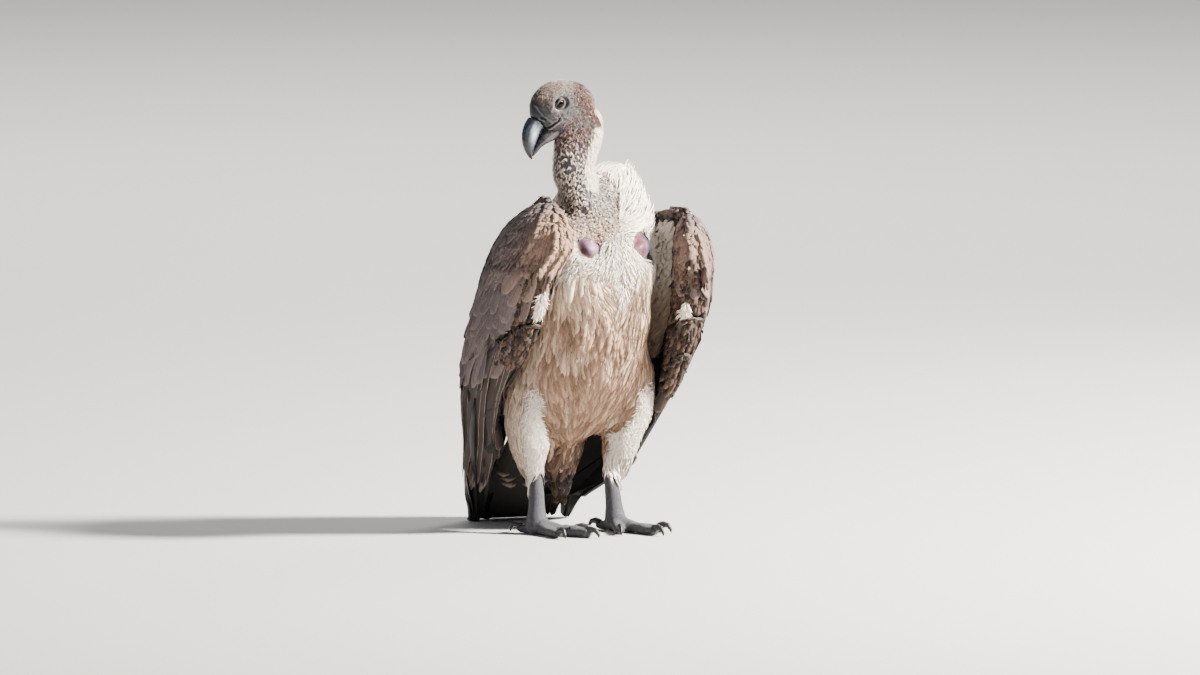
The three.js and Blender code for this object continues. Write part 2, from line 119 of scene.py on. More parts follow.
def joined_copy(nodes, name):
    bpy.ops.object.select_all(action="DESELECT")
    for node in nodes:
        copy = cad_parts[node].copy()
        copy.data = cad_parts[node].data.copy()
        copy.parent = None
        copy.matrix_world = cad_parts[node].matrix_world
        bpy.context.collection.objects.link(copy)
        copy.select_set(True)
        bpy.context.view_layer.objects.active = copy
    bpy.ops.object.join()
    copy = bpy.context.object
    copy.name = copy.data.name = name
    bpy.ops.object.transform_apply(location=True, rotation=True, scale=True)
    copy.data.materials.clear()
    bpy.ops.object.mode_set(mode="EDIT")
    bpy.ops.mesh.select_all(action="SELECT")
    bpy.ops.mesh.remove_doubles(threshold=1e-6)
    bpy.ops.mesh.normals_make_consistent(inside=False)
    bpy.ops.object.mode_set(mode="OBJECT")
    return copy


def modifier(piece, kind, **values):
    added = piece.modifiers.new(kind.lower(), kind)
    for key, value in values.items():
        setattr(added, key, value)
    bpy.context.view_layer.objects.active = piece
    bpy.ops.object.modifier_apply(modifier=added.name)


def read(piece):
    flat = np.empty(len(piece.data.vertices) * 3)
    piece.data.vertices.foreach_get("co", flat)
    return flat.reshape(-1, 3)


def write(piece, points):
    piece.data.vertices.foreach_set("co", np.ascontiguousarray(points, dtype=np.float32).ravel())
    piece.data.update()


def normals_of(piece):
    flat = np.empty(len(piece.data.vertices) * 3)
    piece.data.vertices.foreach_get("normal", flat)
    return flat.reshape(-1, 3)


def edges_of(piece):
    flat = np.empty(len(piece.data.edges) * 2, dtype=np.int64)
    piece.data.edges.foreach_get("vertices", flat)
    return flat.reshape(-1, 2)


def averaged(values, edges, rounds, share):
    """Each value moves towards the mean of its neighbours by its share, round after round."""
    count = np.bincount(edges.ravel(), minlength=len(values)).astype(float)[:, None]
    for _ in range(rounds):
        total = np.zeros_like(values)
        for k in range(values.shape[1]):
            total[:, k] = np.bincount(edges[:, 0], values[edges[:, 1], k], len(values)) + np.bincount(
                edges[:, 1], values[edges[:, 0], k], len(values))
        values = values + (total / np.maximum(count, 1) - values) * share
    return values


def in_body(points_m):
    """Millimetres from the point between the feet."""
    return points_m * 1000 - FEET_MIDDLE


HEAD_MIDDLE = np.array([-60.0, -47.0, 612.5])
PITCH = math.radians(40)
HEAD_FORWARD = [-math.cos(PITCH), 0, -math.sin(PITCH)]
HEAD_UP = [-math.sin(PITCH), 0, math.cos(PITCH)]
HEAD_AXES = np.array([HEAD_FORWARD, [0, -1, 0], HEAD_UP])


def in_head(body_mm):
    """Forward, left and up from midway between the eyes."""
    return (body_mm - HEAD_MIDDLE) @ HEAD_AXES.T


def from_head(head_mm):
    """Back from there to metres in the frame."""
    return (head_mm @ HEAD_AXES + HEAD_MIDDLE + FEET_MIDDLE) * 0.001


def step(low, high, x):
    t = np.clip((x - low) / (high - low), 0, 1)
    return t * t * (3 - 2 * t)


# The middle line of each part of the body, with how thick the part is there.
LINES = {
    "head": ([(-20, -47, 600), (-60, -47, 618), (-88, -47, 600)], 34),
    "neck": ([(3, -64, 440), (-9, -47, 468), (-22, -41, 497), (-27, -43, 525), (-26, -45, 550),
              (-22, -46, 572)], 36),
    "ruff": ([(28, -20, 450), (38, -16, 480), (46, -10, 510)], 66),
    "trunk": ([(0, -35, 430), (0, -20, 350), (0, 0, 270), (0, 25, 200), (0, 35, 160)], 100),
    "undertail": ([(4, 60, 118), (8, 74, 84), (14, 88, 42)], 30),
    "thigh_left": ([(78, -4, 210), (79, 3, 176), (74, 9, 142), (76, 13, 100)], 38),
    "thigh_right": ([(-72, -2, 210), (-74, 8, 170), (-71, 14, 135), (-64, 34, 95)], 38),
    "shank_left": ([(58, 18, 100), (62, 6, 25)], 14),
    "shank_right": ([(-58, 17, 96), (-62, 6, 25)], 14),
    "feet": ([(-62, 6, 8), (-40, -30, 8), (-62, 6, 8), (-70, -40, 8), (-62, 6, 8), (62, 6, 8),
              (75, -60, 8), (62, 6, 8), (100, -30, 8)], 12),
}
PARTS = list(LINES)


def nearness(points, line):
    """Distance to a line and how far along it, from 0 to 1."""
    line = np.array(line, float)
    lengths = np.linalg.norm(np.diff(line, axis=0), axis=1)
    total, done = lengths.sum(), 0.0
    best = np.full(len(points), 1e9)
    along = np.zeros(len(points))
    for a, b, length in zip(line[:-1], line[1:], lengths):
        t = np.clip(((points - a) @ (b - a)) / (length * length), 0, 1)
        distance = np.linalg.norm(points - a - t[:, None] * (b - a), axis=1)
        closer = distance < best
        best = np.where(closer, distance, best)
        along = np.where(closer, (done + t * length) / total, along)
        done += length
    return best, along


def parts_of(body):
    """Which part each point belongs to: the one whose middle line is nearest for its thickness."""
    scores = np.stack([nearness(body, line)[0] / thick for line, thick in LINES.values()])
    return scores.argmin(axis=0)


SKIN_FACE = 0.0031  # side of a face of the skin, in metres
skin = joined_copy(FLESH, "skin")
modifier(skin, "DISPLACE", strength=0.0007, mid_level=0)
modifier(skin, "REMESH", mode="VOXEL", voxel_size=SKIN_FACE)
bpy.ops.object.mode_set(mode="EDIT")
bpy.ops.mesh.select_all(action="SELECT")
bpy.ops.mesh.separate(type="LOOSE")
bpy.ops.object.mode_set(mode="OBJECT")
loose = sorted([o for o in bpy.context.selected_objects if o.type == "MESH"],
               key=lambda o: -len(o.data.vertices))
for scrap in loose[1:]:
    bpy.data.objects.remove(scrap)
skin = loose[0]
skin.name = "skin"
bpy.context.view_layer.objects.active = skin


# The first smoothing takes the flats of the solids away. Then the face and the feet, which carry finer folds,
# have their faces divided.
def divide(piece, wanted, cuts):
    bpy.ops.object.mode_set(mode="EDIT")
    bpy.context.tool_settings.mesh_select_mode = (True, False, False)
    bpy.ops.mesh.select_all(action="DESELECT")
    bpy.ops.object.mode_set(mode="OBJECT")
    for polygon in piece.data.polygons:
        polygon.select = all(wanted[v] for v in polygon.vertices)
    bpy.ops.object.mode_set(mode="EDIT")
    bpy.context.tool_settings.mesh_select_mode = (False, False, True)
    bpy.ops.mesh.subdivide(number_cuts=cuts, smoothness=0)
    bpy.ops.object.mode_set(mode="OBJECT")


points = read(skin)
body = in_body(points)
label = parts_of(body)
is_head = label == PARTS.index("head")
share = np.where(body[:, 2] < 30, 0.22, np.where(is_head, 0.5, 0.6))[:, None]
points = averaged(points, edges_of(skin), 12, share)
write(skin, points)
divide(skin, is_head & (in_head(body)[:, 0] > -28), 3)
divide(skin, in_body(read(skin))[:, 2] < 26, 1)

edges = edges_of(skin)
points = read(skin)
body = in_body(points)
label = parts_of(body)
share = np.where(body[:, 2] < 30, 0.3, 0.5)[:, None]
points = averaged(points, edges, 8, share)
write(skin, points)
body = in_body(points)
depth_of = {"head": 0.5, "neck": 3.2, "ruff": 12, "trunk": 7, "undertail": 8, "feet": 0.2}
depth_of.update({f"thigh_{side}": 7 for side in SIDES})
depth_of.update({f"shank_{side}": 0.3 for side in SIDES})
depth = np.array([depth_of[p] for p in PARTS])[label]
depth = np.where(body[:, 2] < 60, np.minimum(depth, 0.3), depth)
depth = np.where((label == PARTS.index("neck")) & (body[:, 2] > 560), 1.0, depth)
depth = averaged(depth[:, None].astype(float), edges, 40, 0.5)[:, 0]


def breast_lumps(body):
    """From -1 to 1 over the soft lumps of the breast."""
    x, _, z = body.T
    return np.sin(x / 13 + np.sin(z / 17)) * np.cos(z / 24 + 1.4 * np.sin(x / 21))


# The chest folds in along a groove from the ruff to the parting of the breast, and round two bare patches.
# Each patch has its x and height, and half its width and height.
CROP_PATCHES = [(-33, 424, 19, 20), (72, 416, 30, 20)]
GROOVE = [(46, -72, 468), (38, -88, 450), (24, -104, 434), (17, -112, 420), (14, -122, 392), (14, -124, 362)]
groove = nearness(body, GROOVE)[0]
depth += 8 * np.exp(-(groove / 9) ** 2) * (body[:, 1] < -50)
for x, z, wide, high in CROP_PATCHES:
    reach = np.hypot((body[:, 0] - x) / wide, (body[:, 2] - z) / high) + np.where(body[:, 1] < -50, 0, 9)
    depth += 7 * np.exp(-((reach - 0.95) / 0.3) ** 2) - 1.5 * np.exp(-(reach / 0.5) ** 2)

# The face: a brow over each eye, creases under it, the folded skin of the gape, the rim and slit of the cere.
# Each crease or ridge follows a line of places forward and up, and rises by its height in mm.
EYE = np.array([-5.0, 19.0, 7.5])
FACE_LINES = [
    ([(-18, 16.5), (-9, 16.2), (0, 14.6), (7, 12), (13, 9)], 2.3, 2.3),
    ([(-17, 13.6), (-8, 13.4), (1, 12.2), (7, 9.8)], 1.1, -0.8),
    ([(-13, 3), (-8, -0.6), (-2, -1.2), (4, 1.5), (8, 5)], 1.1, -0.55),
    ([(-15, 0), (-9, -4.2), (-2, -5), (5, -2.5)], 1.2, -0.4),
    ([(10, -8.4), (14, -9.6), (20, -9.2), (25, -9.9), (31, -9.6)], 1.3, -2.8),
    ([(12, -6.8), (18, -6.6), (25, -6.4)], 1.2, 0.8),
    ([(9, -12.5), (17, -12.4), (24, -12.6), (31, -13.4)], 1.3, 0.9),
    ([(6, -5), (7.5, -10), (6, -15), (1, -19)], 1.8, -0.5),
    ([(2, -6), (3, -11), (0, -17)], 1.6, 0.35),
    ([(23.5, 26), (25.5, 18), (26.5, 10), (25.5, 3), (24, -4)], 1.1, -0.9),
    ([(21.5, 26), (23.5, 18), (24.5, 10), (23.5, 3), (22, -4)], 1.4, 0.6),
    ([(34.5, 17), (33.5, 10), (31.5, 3), (29.5, -4)], 1.1, -0.5),
    ([(25.3, 4.0), (27.0, 6.3), (28.0, 9.6)], 0.95, -2.4),
    ([(27.2, 3.2), (29.2, 5.6), (30.2, 9.6)], 0.9, 0.7),
]
parting = nearness(body, [(14, -124, 372), (13, -130, 340), (11, -130, 312)])[0]
folds = 2.4 * breast_lumps(body) + 3.5 * np.exp(-(parting / 7) ** 2)
depth += (label == PARTS.index("trunk")) * step(0, -40, body[:, 1]) * folds


SCUTE = 4.2  # length of each plate along the top of a toe


def from_ankle(body):
    """How far out along the toes a place lies, from the nearer foot's middle."""
    middle_of_foot = np.where(body[:, :1] > 0, [[62.0, 6.0]], [[-62.0, 6.0]])
    return np.hypot(*(body[:, :2] - middle_of_foot).T)


def socket_depth(around):
    """How far out from the middle of the head the hollow round the eye lies."""
    return 20.8 + 6.2 * (np.minimum(around, 14) / 13) ** 3


head = in_head(body)
lift = np.zeros(len(body))
flat = np.stack([head[:, 0], head[:, 2], np.zeros(len(head))], axis=1)
for line, wide, height in FACE_LINES:
    away = nearness(flat, [(f, u, 0) for f, u in line])[0]
    lift += height * np.exp(-(away / wide) ** 2)
on_side = step(4, 9, np.abs(head[:, 1]))
lift *= on_side * (label == PARTS.index("head"))
points = points + normals_of(skin) * (lift - depth)[:, None] * 0.001
along_toe = from_ankle(body)
scutes = step(0.3, 1.0, np.cos(along_toe * 2 * np.pi / SCUTE))
scutes = scutes * step(24, 18, body[:, 2]) * step(10, 16, along_toe)
points -= normals_of(skin) * (0.5 * scutes * step(0.1, 0.5, normals_of(skin)[:, 2]))[:, None] * 0.001
head = in_head(in_body(points))
around = np.hypot(head[:, 0] - EYE[0], (head[:, 2] - EYE[2]) / 0.85)
socket = step(15.5, 9.5, around) * (label == PARTS.index("head")) * (np.abs(head[:, 1]) > 14)
deep = np.minimum(socket_depth(around), np.abs(head[:, 1]))
head[:, 1] = np.sign(head[:, 1]) * (np.abs(head[:, 1]) * (1 - socket) + deep * socket)
points = from_head(head)
on_head = (label == PARTS.index("head")).astype(float)[:, None]
seam = averaged(on_head, edges, 30, 0.5)[:, 0] * (in_head(body)[:, 0] < -8)
points = averaged(points, edges, 30, (0.5 * step(0.02, 0.3, seam) * step(0.98, 0.7, seam))[:, None])
rough = (label != PARTS.index("head")) & (body[:, 2] > 30)
points = averaged(points, edges, 3, np.where(rough, 0.5, 0.0)[:, None])
points[:, 2] = np.maximum(points[:, 2], 0.0)
write(skin, points)


# ---- Colour and finish of the skin ----
# The skin is bare on the face, throat, crop patches, shanks and toes, where it is painted as on a finished
# mount. Its tones are held at its corners. Some of them are painted light: painted shade in the creases of
# the face, round the eye, at the rims of the crop patches, between the toe plates and on the skin under the
# coat, and painted highlights on the brow, the toe plates and the right crop patch. The material adds fine
# mottling and the plates of the shanks.
def unwrap(piece, angle=66):
    bpy.ops.object.select_all(action="DESELECT")
    piece.select_set(True)
    bpy.context.view_layer.objects.active = piece
    if not piece.data.uv_layers:
        piece.data.uv_layers.new(name="OFBake")
    piece.data.uv_layers[0].name = "OFBake"
    bpy.ops.object.mode_set(mode="EDIT")
    bpy.ops.mesh.select_all(action="SELECT")
    bpy.ops.uv.smart_project(angle_limit=math.radians(angle), island_margin=0.002)
    bpy.ops.object.mode_set(mode="OBJECT")


def smooth(piece):
    for polygon in piece.data.polygons:
        polygon.use_smooth = True


def wire(tree, kind, values=None, **settings):
    node = tree.nodes.new(kind)
    for key, value in settings.items():
        setattr(node, key, value)
    for key, value in (values or {}).items():
        if isinstance(value, bpy.types.NodeSocket):
            tree.links.new(value, node.inputs[key])
        else:
            node.inputs[key].default_value = value
    return node


def maths(tree, operation, a, b=0.0):
    return wire(tree, "ShaderNodeMath", {0: a, 1: b}, operation=operation).outputs[0]


def ramp(tree, value, low, high, out_low=0.0, out_high=1.0):
    return wire(tree, "ShaderNodeMapRange",
                {"Value": value, "From Min": low, "From Max": high, "To Min": out_low, "To Max": out_high},
                interpolation_type="SMOOTHSTEP").outputs["Result"]


def mixed(tree, share, a, b, blend="MIX"):
    node = tree.nodes.new("ShaderNodeMix")
    node.data_type = "RGBA"
    node.blend_type = blend
    for socket, value in ((node.inputs[0], share), (node.inputs[6], a), (node.inputs[7], b)):
        if isinstance(value, bpy.types.NodeSocket):
            tree.links.new(value, socket)
        else:
            socket.default_value = (*value, 1) if isinstance(value, tuple) else value
    return node.outputs[2]


def dimmed(tree, colour, shade):
    """A colour times a number."""
    grey = wire(tree, "ShaderNodeCombineXYZ", {0: shade, 1: shade, 2: shade}).outputs[0]
    return mixed(tree, 1.0, colour, grey, "MULTIPLY")


def start_material(name, roughness, sheen=0.0, specular=0.5):
    material = bpy.data.materials.new(name)
    material.use_nodes = True
    shader = material.node_tree.nodes["Principled BSDF"]
    shader.inputs["Roughness"].default_value = roughness
    shader.inputs["Sheen Weight"].default_value = sheen
    shader.inputs["Specular IOR Level"].default_value = specular
    return material, material.node_tree, shader


def set_tone(piece, colours, alpha=None):
    values = np.concatenate([colours, (np.zeros(len(colours)) if alpha is None else alpha)[:, None]], axis=1)
    piece.data.color_attributes.new(name="tone", type="FLOAT_COLOR", domain="POINT")
    piece.data.color_attributes["tone"].data.foreach_set("color", values.astype(np.float32).ravel())


def bareness(body):
    """1 on the two bare patches at the foot of the neck, 0 away from them."""
    least = np.full(len(body), 9.0)
    for x, z, wide, high in CROP_PATCHES:
        right, top = (body[:, 0] - x) / wide, (body[:, 2] - z) / high
        turn = np.arctan2(top, right)
        ragged = 1 + 0.16 * np.sin(3 * turn + x) + 0.1 * np.sin(7 * turn + z)
        reach = np.hypot(right, top) * ragged + np.where(body[:, 1] < -60, 0, 9)
        least = np.minimum(least, reach)
    return 1 - step(0.8, 1.1, least)


def mix(a, b, share):
    """Tones between a and b, one for each share."""
    share = np.asarray(share)[..., None]
    return np.asarray(a) * (1 - share) + np.asarray(b) * share


BUFF = np.array([0.32, 0.19, 0.125])
WHITE = np.array([0.93, 0.84, 0.74])
SLATE = np.array([0.032, 0.027, 0.036])


def along(points, line, wide):
    """1 on a line of forward and up places, fading over its width."""
    flat = np.stack([points[:, 0], points[:, 2], np.zeros(len(points))], axis=1)
    return np.exp(-(nearness(flat, [(f, u, 0) for f, u in line])[0] / wide) ** 2)


def face_tone(head):
    """Bare skin of the head: slate cere, grey cheek and a browner crown, with painted shade in its creases,
    the gape, the nostril and the hollow round the eye, and a painted highlight along the brow ridge.
    """
    forward, up = head[:, 0], head[:, 2]
    tone = mix([0.050, 0.043, 0.047], [0.092, 0.064, 0.053], step(8, 30, up - forward * 0.2))
    tone = mix(tone, [0.032, 0.028, 0.034], step(6, 14, forward) * step(20, 10, up))
    tone = mix(tone, [0.10, 0.055, 0.05], step(-24, -38, forward) * step(22, 6, up) * 0.8)
    tone = mix(tone, [0.30, 0.24, 0.21], step(-30, -46, forward) * step(10, 24, up) * 0.6)
    tone = mix(tone, [0.013, 0.014, 0.021],
               step(17, 24, forward + np.maximum(up - 20, 0) * 0.3) * step(-14, -8, up))
    tone = mix(tone, [0.004, 0.004, 0.005], step(12, 22, forward) * step(17, 25, up))
    tone = mix(tone, [0.16, 0.15, 0.16], 0.6 * along(head, [(13, -6.9), (18, -6.6), (25, -6.4)], 1.0))
    tone = mix(tone, [0.24, 0.22, 0.22],
               0.8 * along(head, [(11, -12.3), (17, -12.2), (24, -12.6), (31, -13.6)], 0.9))
    # Painted shade: the groove of the gape, near black.
    tone = mix(tone, [0.001, 0.001, 0.001], np.minimum(1.5 * along(head, FACE_LINES[4][0], 1.3), 1))
    # A painted highlight along the ridge of the brow, and painted shade in the crease under it.
    tone = mix(tone, [0.20, 0.17, 0.165], 0.55 * along(head, FACE_LINES[0][0], 1.3))
    tone = mix(tone, [0.008, 0.007, 0.008], 0.85 * along(head, FACE_LINES[1][0], 1.2))
    # Painted shade in the hollow round the eye.
    tone = mix(tone, [0.018, 0.015, 0.017],
               0.7 * step(12, 8.5, np.hypot(forward - EYE[0], (up - EYE[2]) / 0.85)))
    tone = mix(tone, [0.20, 0.20, 0.22], 0.55 * along(head, FACE_LINES[13][0], 0.9))
    tone = mix(tone, [0.12, 0.12, 0.14], 0.5 * along(head, FACE_LINES[10][0], 0.8))
    # Painted shade in the slit of the nostril.
    return mix(tone, [0.002, 0.002, 0.003], along(head, FACE_LINES[12][0], 0.8))


def throat_share(body):
    """1 over the mottled base of the neck where it comes down in front of the chest."""
    near = nearness(body, [(-10, -70, 505), (-20, -92, 465), (-18, -112, 442)])[0]
    x, y, z = body.T
    ragged = np.sin(x / 2.3 + 2 * np.sin(z / 3.1)) * np.cos(z / 2.6 + y / 4)
    right_edge = np.interp(z, [425, 440, 455, 470, 505], [4, 18, 30, 36, 24]) + 4 * ragged
    foot = np.interp(x, [-50, -20, 5, 30], [436, 428, 426, 446]) + 5 * ragged
    return (step(52, 44, near) * step(foot - 2, foot + 2, z)
            * np.maximum(step(-35, -48, y), step(0, -10, x)) * step(right_edge + 2, right_edge - 2, x))


def strip_share(body):
    """1 on the dark bare strip between the nape and the ruff."""
    return step(9, 5, nearness(body, [(18, -62, 506), (32, -71, 484), (34, -80, 466)])[0])


body = in_body(read(skin))
head = in_head(body)
label = parts_of(body)
normal = normals_of(skin)
# The skin under the body's coat is painted a dark buff in place of its own pinkish buff, as painted shade in
# the gaps between the feathers.
tones = np.tile(BUFF * 0.55, (len(body), 1))
where = {name: label == i for i, name in enumerate(PARTS)}
nape = step(0.25, 0.5, normal[:, 0])
tones = np.where(where["neck"][:, None], mix(SLATE, WHITE * 0.6, nape), tones)
tones = np.where(where["ruff"][:, None], WHITE * 0.7, tones)
tones = mix(tones, mix(SLATE * 1.2, BUFF * 0.5, step(475, 440, body[:, 2])),
            throat_share(body) * ~where["neck"])
tones = mix(tones, SLATE, strip_share(body) * ~where["neck"])
tones = np.where((where["thigh_left"] | where["thigh_right"])[:, None], WHITE * 0.6, tones)
tones = np.where(where["head"][:, None], face_tone(head), tones)
low = np.maximum(step(112, 100, body[:, 2]) * (where["shank_left"] | where["shank_right"] | where["feet"]),
                 step(40, 32, body[:, 2]))
tones = mix(tones, [0.040, 0.039, 0.052], low)
# On top of the toes painted shade darkens the grooves between the plates, and a painted highlight lightens
# the raised plates.
turn = from_ankle(body) * 2 * np.pi / SCUTE
scutes = step(24, 18, body[:, 2]) * step(10, 16, from_ankle(body)) * step(0.1, 0.5, normal[:, 2])
tones = mix(tones, [0.012, 0.011, 0.014], scutes * step(0.3, 0.9, np.cos(turn)))
tones = mix(tones, [0.12, 0.115, 0.135], 0.8 * scutes * step(0.2, 0.9, np.cos(turn - np.pi)))
crop_tone = mix([0.075, 0.010, 0.024], [0.009, 0.011, 0.034],
                step(62, 73, body[:, 0] + 4 * np.sin(body[:, 2] / 4)))
# A painted highlight: the pale streak down the right patch.
crop_tone = mix(crop_tone, [0.20, 0.14, 0.21],
                0.6 * np.exp(-((body[:, 0] - 67) / 3) ** 2 - ((body[:, 2] - 417) / 8) ** 2))
lilac = np.exp(-((body[:, 0] + 29 + 0.25 * (body[:, 2] - 424)) / 7.5) ** 2 - ((body[:, 2] - 421) / 14) ** 2)
crop_tone = mix(crop_tone, mix([0.035, 0.010, 0.018], [0.27, 0.16, 0.25], lilac), step(0, -20, body[:, 0]))
# Painted shade darkens each patch towards its rim, where the skin sinks into a hollow.
crop_tone = mix(crop_tone, [0.05, 0.008, 0.013], step(0.75, 0.3, bareness(body)))
tones = mix(tones, crop_tone, bareness(body) * (where["trunk"] | where["ruff"] | where["neck"]))
edges = edges_of(skin)
blur = np.where(where["head"], 0.0, 0.5)[:, None]
tones = averaged(tones, edges, 3, blur)
set_tone(skin, tones, low)
sheen = step(18, 25, head[:, 0]) * where["head"] * step(24, 20, head[:, 2] - 6)
sheen = np.maximum(sheen, 0.4 * bareness(body) * (where["trunk"] | where["ruff"]))
skin.data.attributes.new(name="sheen", type="FLOAT", domain="POINT")
skin.data.attributes["sheen"].data.foreach_set("value", sheen.astype(np.float32))

skin_material, tree, shader = start_material("skin", 0.62, 0.1, 0.4)
tone = wire(tree, "ShaderNodeAttribute", attribute_name="tone")
spot = wire(tree, "ShaderNodeTexCoord").outputs["Object"]
mottle = wire(tree, "ShaderNodeTexNoise",
              {"Vector": spot, "Scale": 260.0, "Detail": 4.0, "Roughness": 0.65}).outputs["Fac"]
scale = wire(tree, "ShaderNodeTexVoronoi", {"Vector": spot, "Scale": 330.0},
             feature="DISTANCE_TO_EDGE").outputs["Distance"]
plates = ramp(tree, scale, 0.0, 0.12)
shade = ramp(tree, mottle, 0.3, 0.7, 0.72, 1.25)
colour = dimmed(tree, tone.outputs["Color"], shade)
groove = maths(tree, "MULTIPLY", maths(tree, "SUBTRACT", 1.0, plates),
               maths(tree, "MULTIPLY", tone.outputs["Alpha"], 0.9))
colour = mixed(tree, groove, colour, (0.008, 0.008, 0.010))
tree.links.new(colour, shader.inputs["Base Color"])
height = maths(tree, "ADD", maths(tree, "MULTIPLY", mottle, 0.5),
               maths(tree, "MULTIPLY", plates, tone.outputs["Alpha"]))
bump = wire(tree, "ShaderNodeBump", {"Height": height, "Strength": 0.6, "Distance": 0.0008})
tree.links.new(bump.outputs[0], shader.inputs["Normal"])
glossy = wire(tree, "ShaderNodeAttribute", attribute_name="sheen").outputs["Fac"]
tree.links.new(ramp(tree, glossy, 0.0, 1.0, 0.66, 0.34), shader.inputs["Roughness"])
skin.data.materials.append(skin_material)
unwrap(skin)
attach(skin, "root")
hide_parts(*FLESH)
smooth(skin)


# ---- Wing and tail cores ----
# Under the feathers of a mounted bird each wing is bone and skin bound to a wire, and the tail is a fan of
# shafts on a stub. Here each core is the solid, sunk by the depth of the feathers on it.
WINGS = {"left": 1, "right": -1}
LEAN, DROP = 0.5, 0.866  # the folded wing hangs 30 degrees back from upright
WRIST_AT = 467  # millimetres, so that places down the wing start from the wrist
LEAD = np.array([(-30, 160), (0, 128), (27, 78), (61, 66), (109, 65), (163, 62), (228, 79), (285, 98),
                 (338, 107), (390, 107), (454, 135), (516, 156), (563, 179)]).T
TRAIL = np.array([(-30, 190), (48, 219), (101, 246), (132, 260), (177, 267), (225, 267), (278, 262),
                  (329, 255), (372, 249), (417, 244), (465, 237), (509, 231), (553, 221), (580, 207)]).T


def wing_place(body):
    """How far down the wing from the wrist, and how far back across it."""
    return LEAN * body[:, 1] - DROP * body[:, 2] + WRIST_AT, DROP * body[:, 1] + LEAN * body[:, 2]


def wing_share(down, back):
    """0 on the leading edge of the folded wing, 1 on the trailing edge."""
    lead, trail = np.interp(down, *LEAD), np.interp(down, *TRAIL)
    return np.clip((back - lead) / (trail - lead), 0, 1)


def wing_lie(body, normal):
    down, back = wing_place(body)
    share = wing_share(down, back)
    slopes = [(np.interp(down + 25, *edge) - np.interp(down - 25, *edge)) / 50 for edge in (LEAD, TRAIL)]
    slope = np.clip(slopes[0] * (1 - share) + slopes[1] * share, -0.35, 0.35)[:, None]
    return np.array([0, LEAN, -DROP]) + slope * np.array([0, DROP, LEAN])


def ground(piece):
    """What feathers need to know of the surface they grow on."""
    mesh = piece.data
    mesh.calc_loop_triangles()
    count = len(mesh.loop_triangles)
    corners = np.empty(count * 3, dtype=np.int64)
    mesh.loop_triangles.foreach_get("vertices", corners)
    loops = np.empty(count * 3, dtype=np.int64)
    mesh.loop_triangles.foreach_get("loops", loops)
    flat = np.empty(len(mesh.loops) * 2)
    mesh.uv_layers["OFBake"].data.foreach_get("uv", flat)
    points = read(piece)
    corners = corners.reshape(-1, 3)
    a, b, c = (points[corners[:, k]] for k in range(3))
    cross = np.cross(b - a, c - a)
    return {"points": points, "normals": normals_of(piece), "corners": corners,
            "map": flat.reshape(-1, 2)[loops.reshape(-1, 3)], "middle": in_body((a + b + c) / 3),
            "area": np.linalg.norm(cross, axis=1) * 0.5e6, "facing": unit(cross),
            "tree": BVHTree.FromPolygons(points.tolist(), corners.tolist(), all_triangles=True)}


def unit(vectors):
    return vectors / np.maximum(np.linalg.norm(vectors, axis=-1, keepdims=True), 1e-12)


dark_material, tree, shader = start_material("quill_bed", 0.9)
spot = wire(tree, "ShaderNodeTexCoord").outputs["Object"]
noise = wire(tree, "ShaderNodeTexNoise", {"Vector": spot, "Scale": 90.0}).outputs["Fac"]
height = wire(tree, "ShaderNodeSeparateXYZ", {0: spot}).outputs[2]
brown = mixed(tree, noise, (0.045, 0.032, 0.027), (0.10, 0.07, 0.056))
tree.links.new(mixed(tree, ramp(tree, height, 0.2, 0.34), (0.006, 0.005, 0.005), brown),
               shader.inputs["Base Color"])


def core(nodes, name, sink):
    piece = joined_copy(nodes, name)
    modifier(piece, "SUBSURF", levels=2, subdivision_type="SIMPLE")
    points = read(piece)
    write(piece, points - normals_of(piece) * sink(in_body(points))[:, None] * 0.001)
    piece.data.materials.append(dark_material)
    unwrap(piece, 50)
    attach(piece, "root")
    return piece


wing_lands = {}
for side in WINGS:
    nodes = [f"wing_{side}_{part}" for part in ("arm", "secondaries", "primaries")]
    piece = core(nodes, f"wing_{side}_core", lambda body: 1.5 + 3.2 * step(420, 120, wing_place(body)[0]))
    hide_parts(*nodes)
    wing_lands[side] = ground(piece)
tail_core = core(["tail"], "tail_core", lambda body: np.full(len(body), 2.0))
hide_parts("tail")

# ---- Wing feathers ----
# Each wing carries its flight feathers, black primaries under grey-brown secondaries, then rows of coverts
# that overlap like tiles up to the wrist. Each is a thin curved vane with a shaft, laid from the tip upwards.


def across(vectors, normals):
    """What of the vectors lies in the surface."""
    return unit(vectors - (vectors * normals).sum(-1, keepdims=True) * normals)


def touch(land, points):
    """The nearest place on the surface to each point, its smooth normal and its place on the map."""
    found = [land["tree"].find_nearest(p) for p in points.tolist()]
    spot = np.array([f[0][:] for f in found])
    which = np.array([f[2] for f in found])
    a, b, c = (land["points"][land["corners"][which, k]] for k in range(3))
    ab, ac, ap = b - a, c - a, spot - a

    def dot(p, q):
        return (p * q).sum(-1)

    below = np.maximum(dot(ab, ab) * dot(ac, ac) - dot(ab, ac) ** 2, 1e-20)
    wb = np.clip((dot(ac, ac) * dot(ap, ab) - dot(ab, ac) * dot(ap, ac)) / below, 0, 1)
    wc = np.clip((dot(ab, ab) * dot(ap, ac) - dot(ab, ac) * dot(ap, ab)) / below, 0, 1)
    weights = np.stack([1 - wb - wc, wb, wc], axis=1)[:, :, None]
    normal = unit((weights * land["normals"][land["corners"][which]]).sum(1))
    return spot, normal, (weights * land["map"][which]).sum(1)


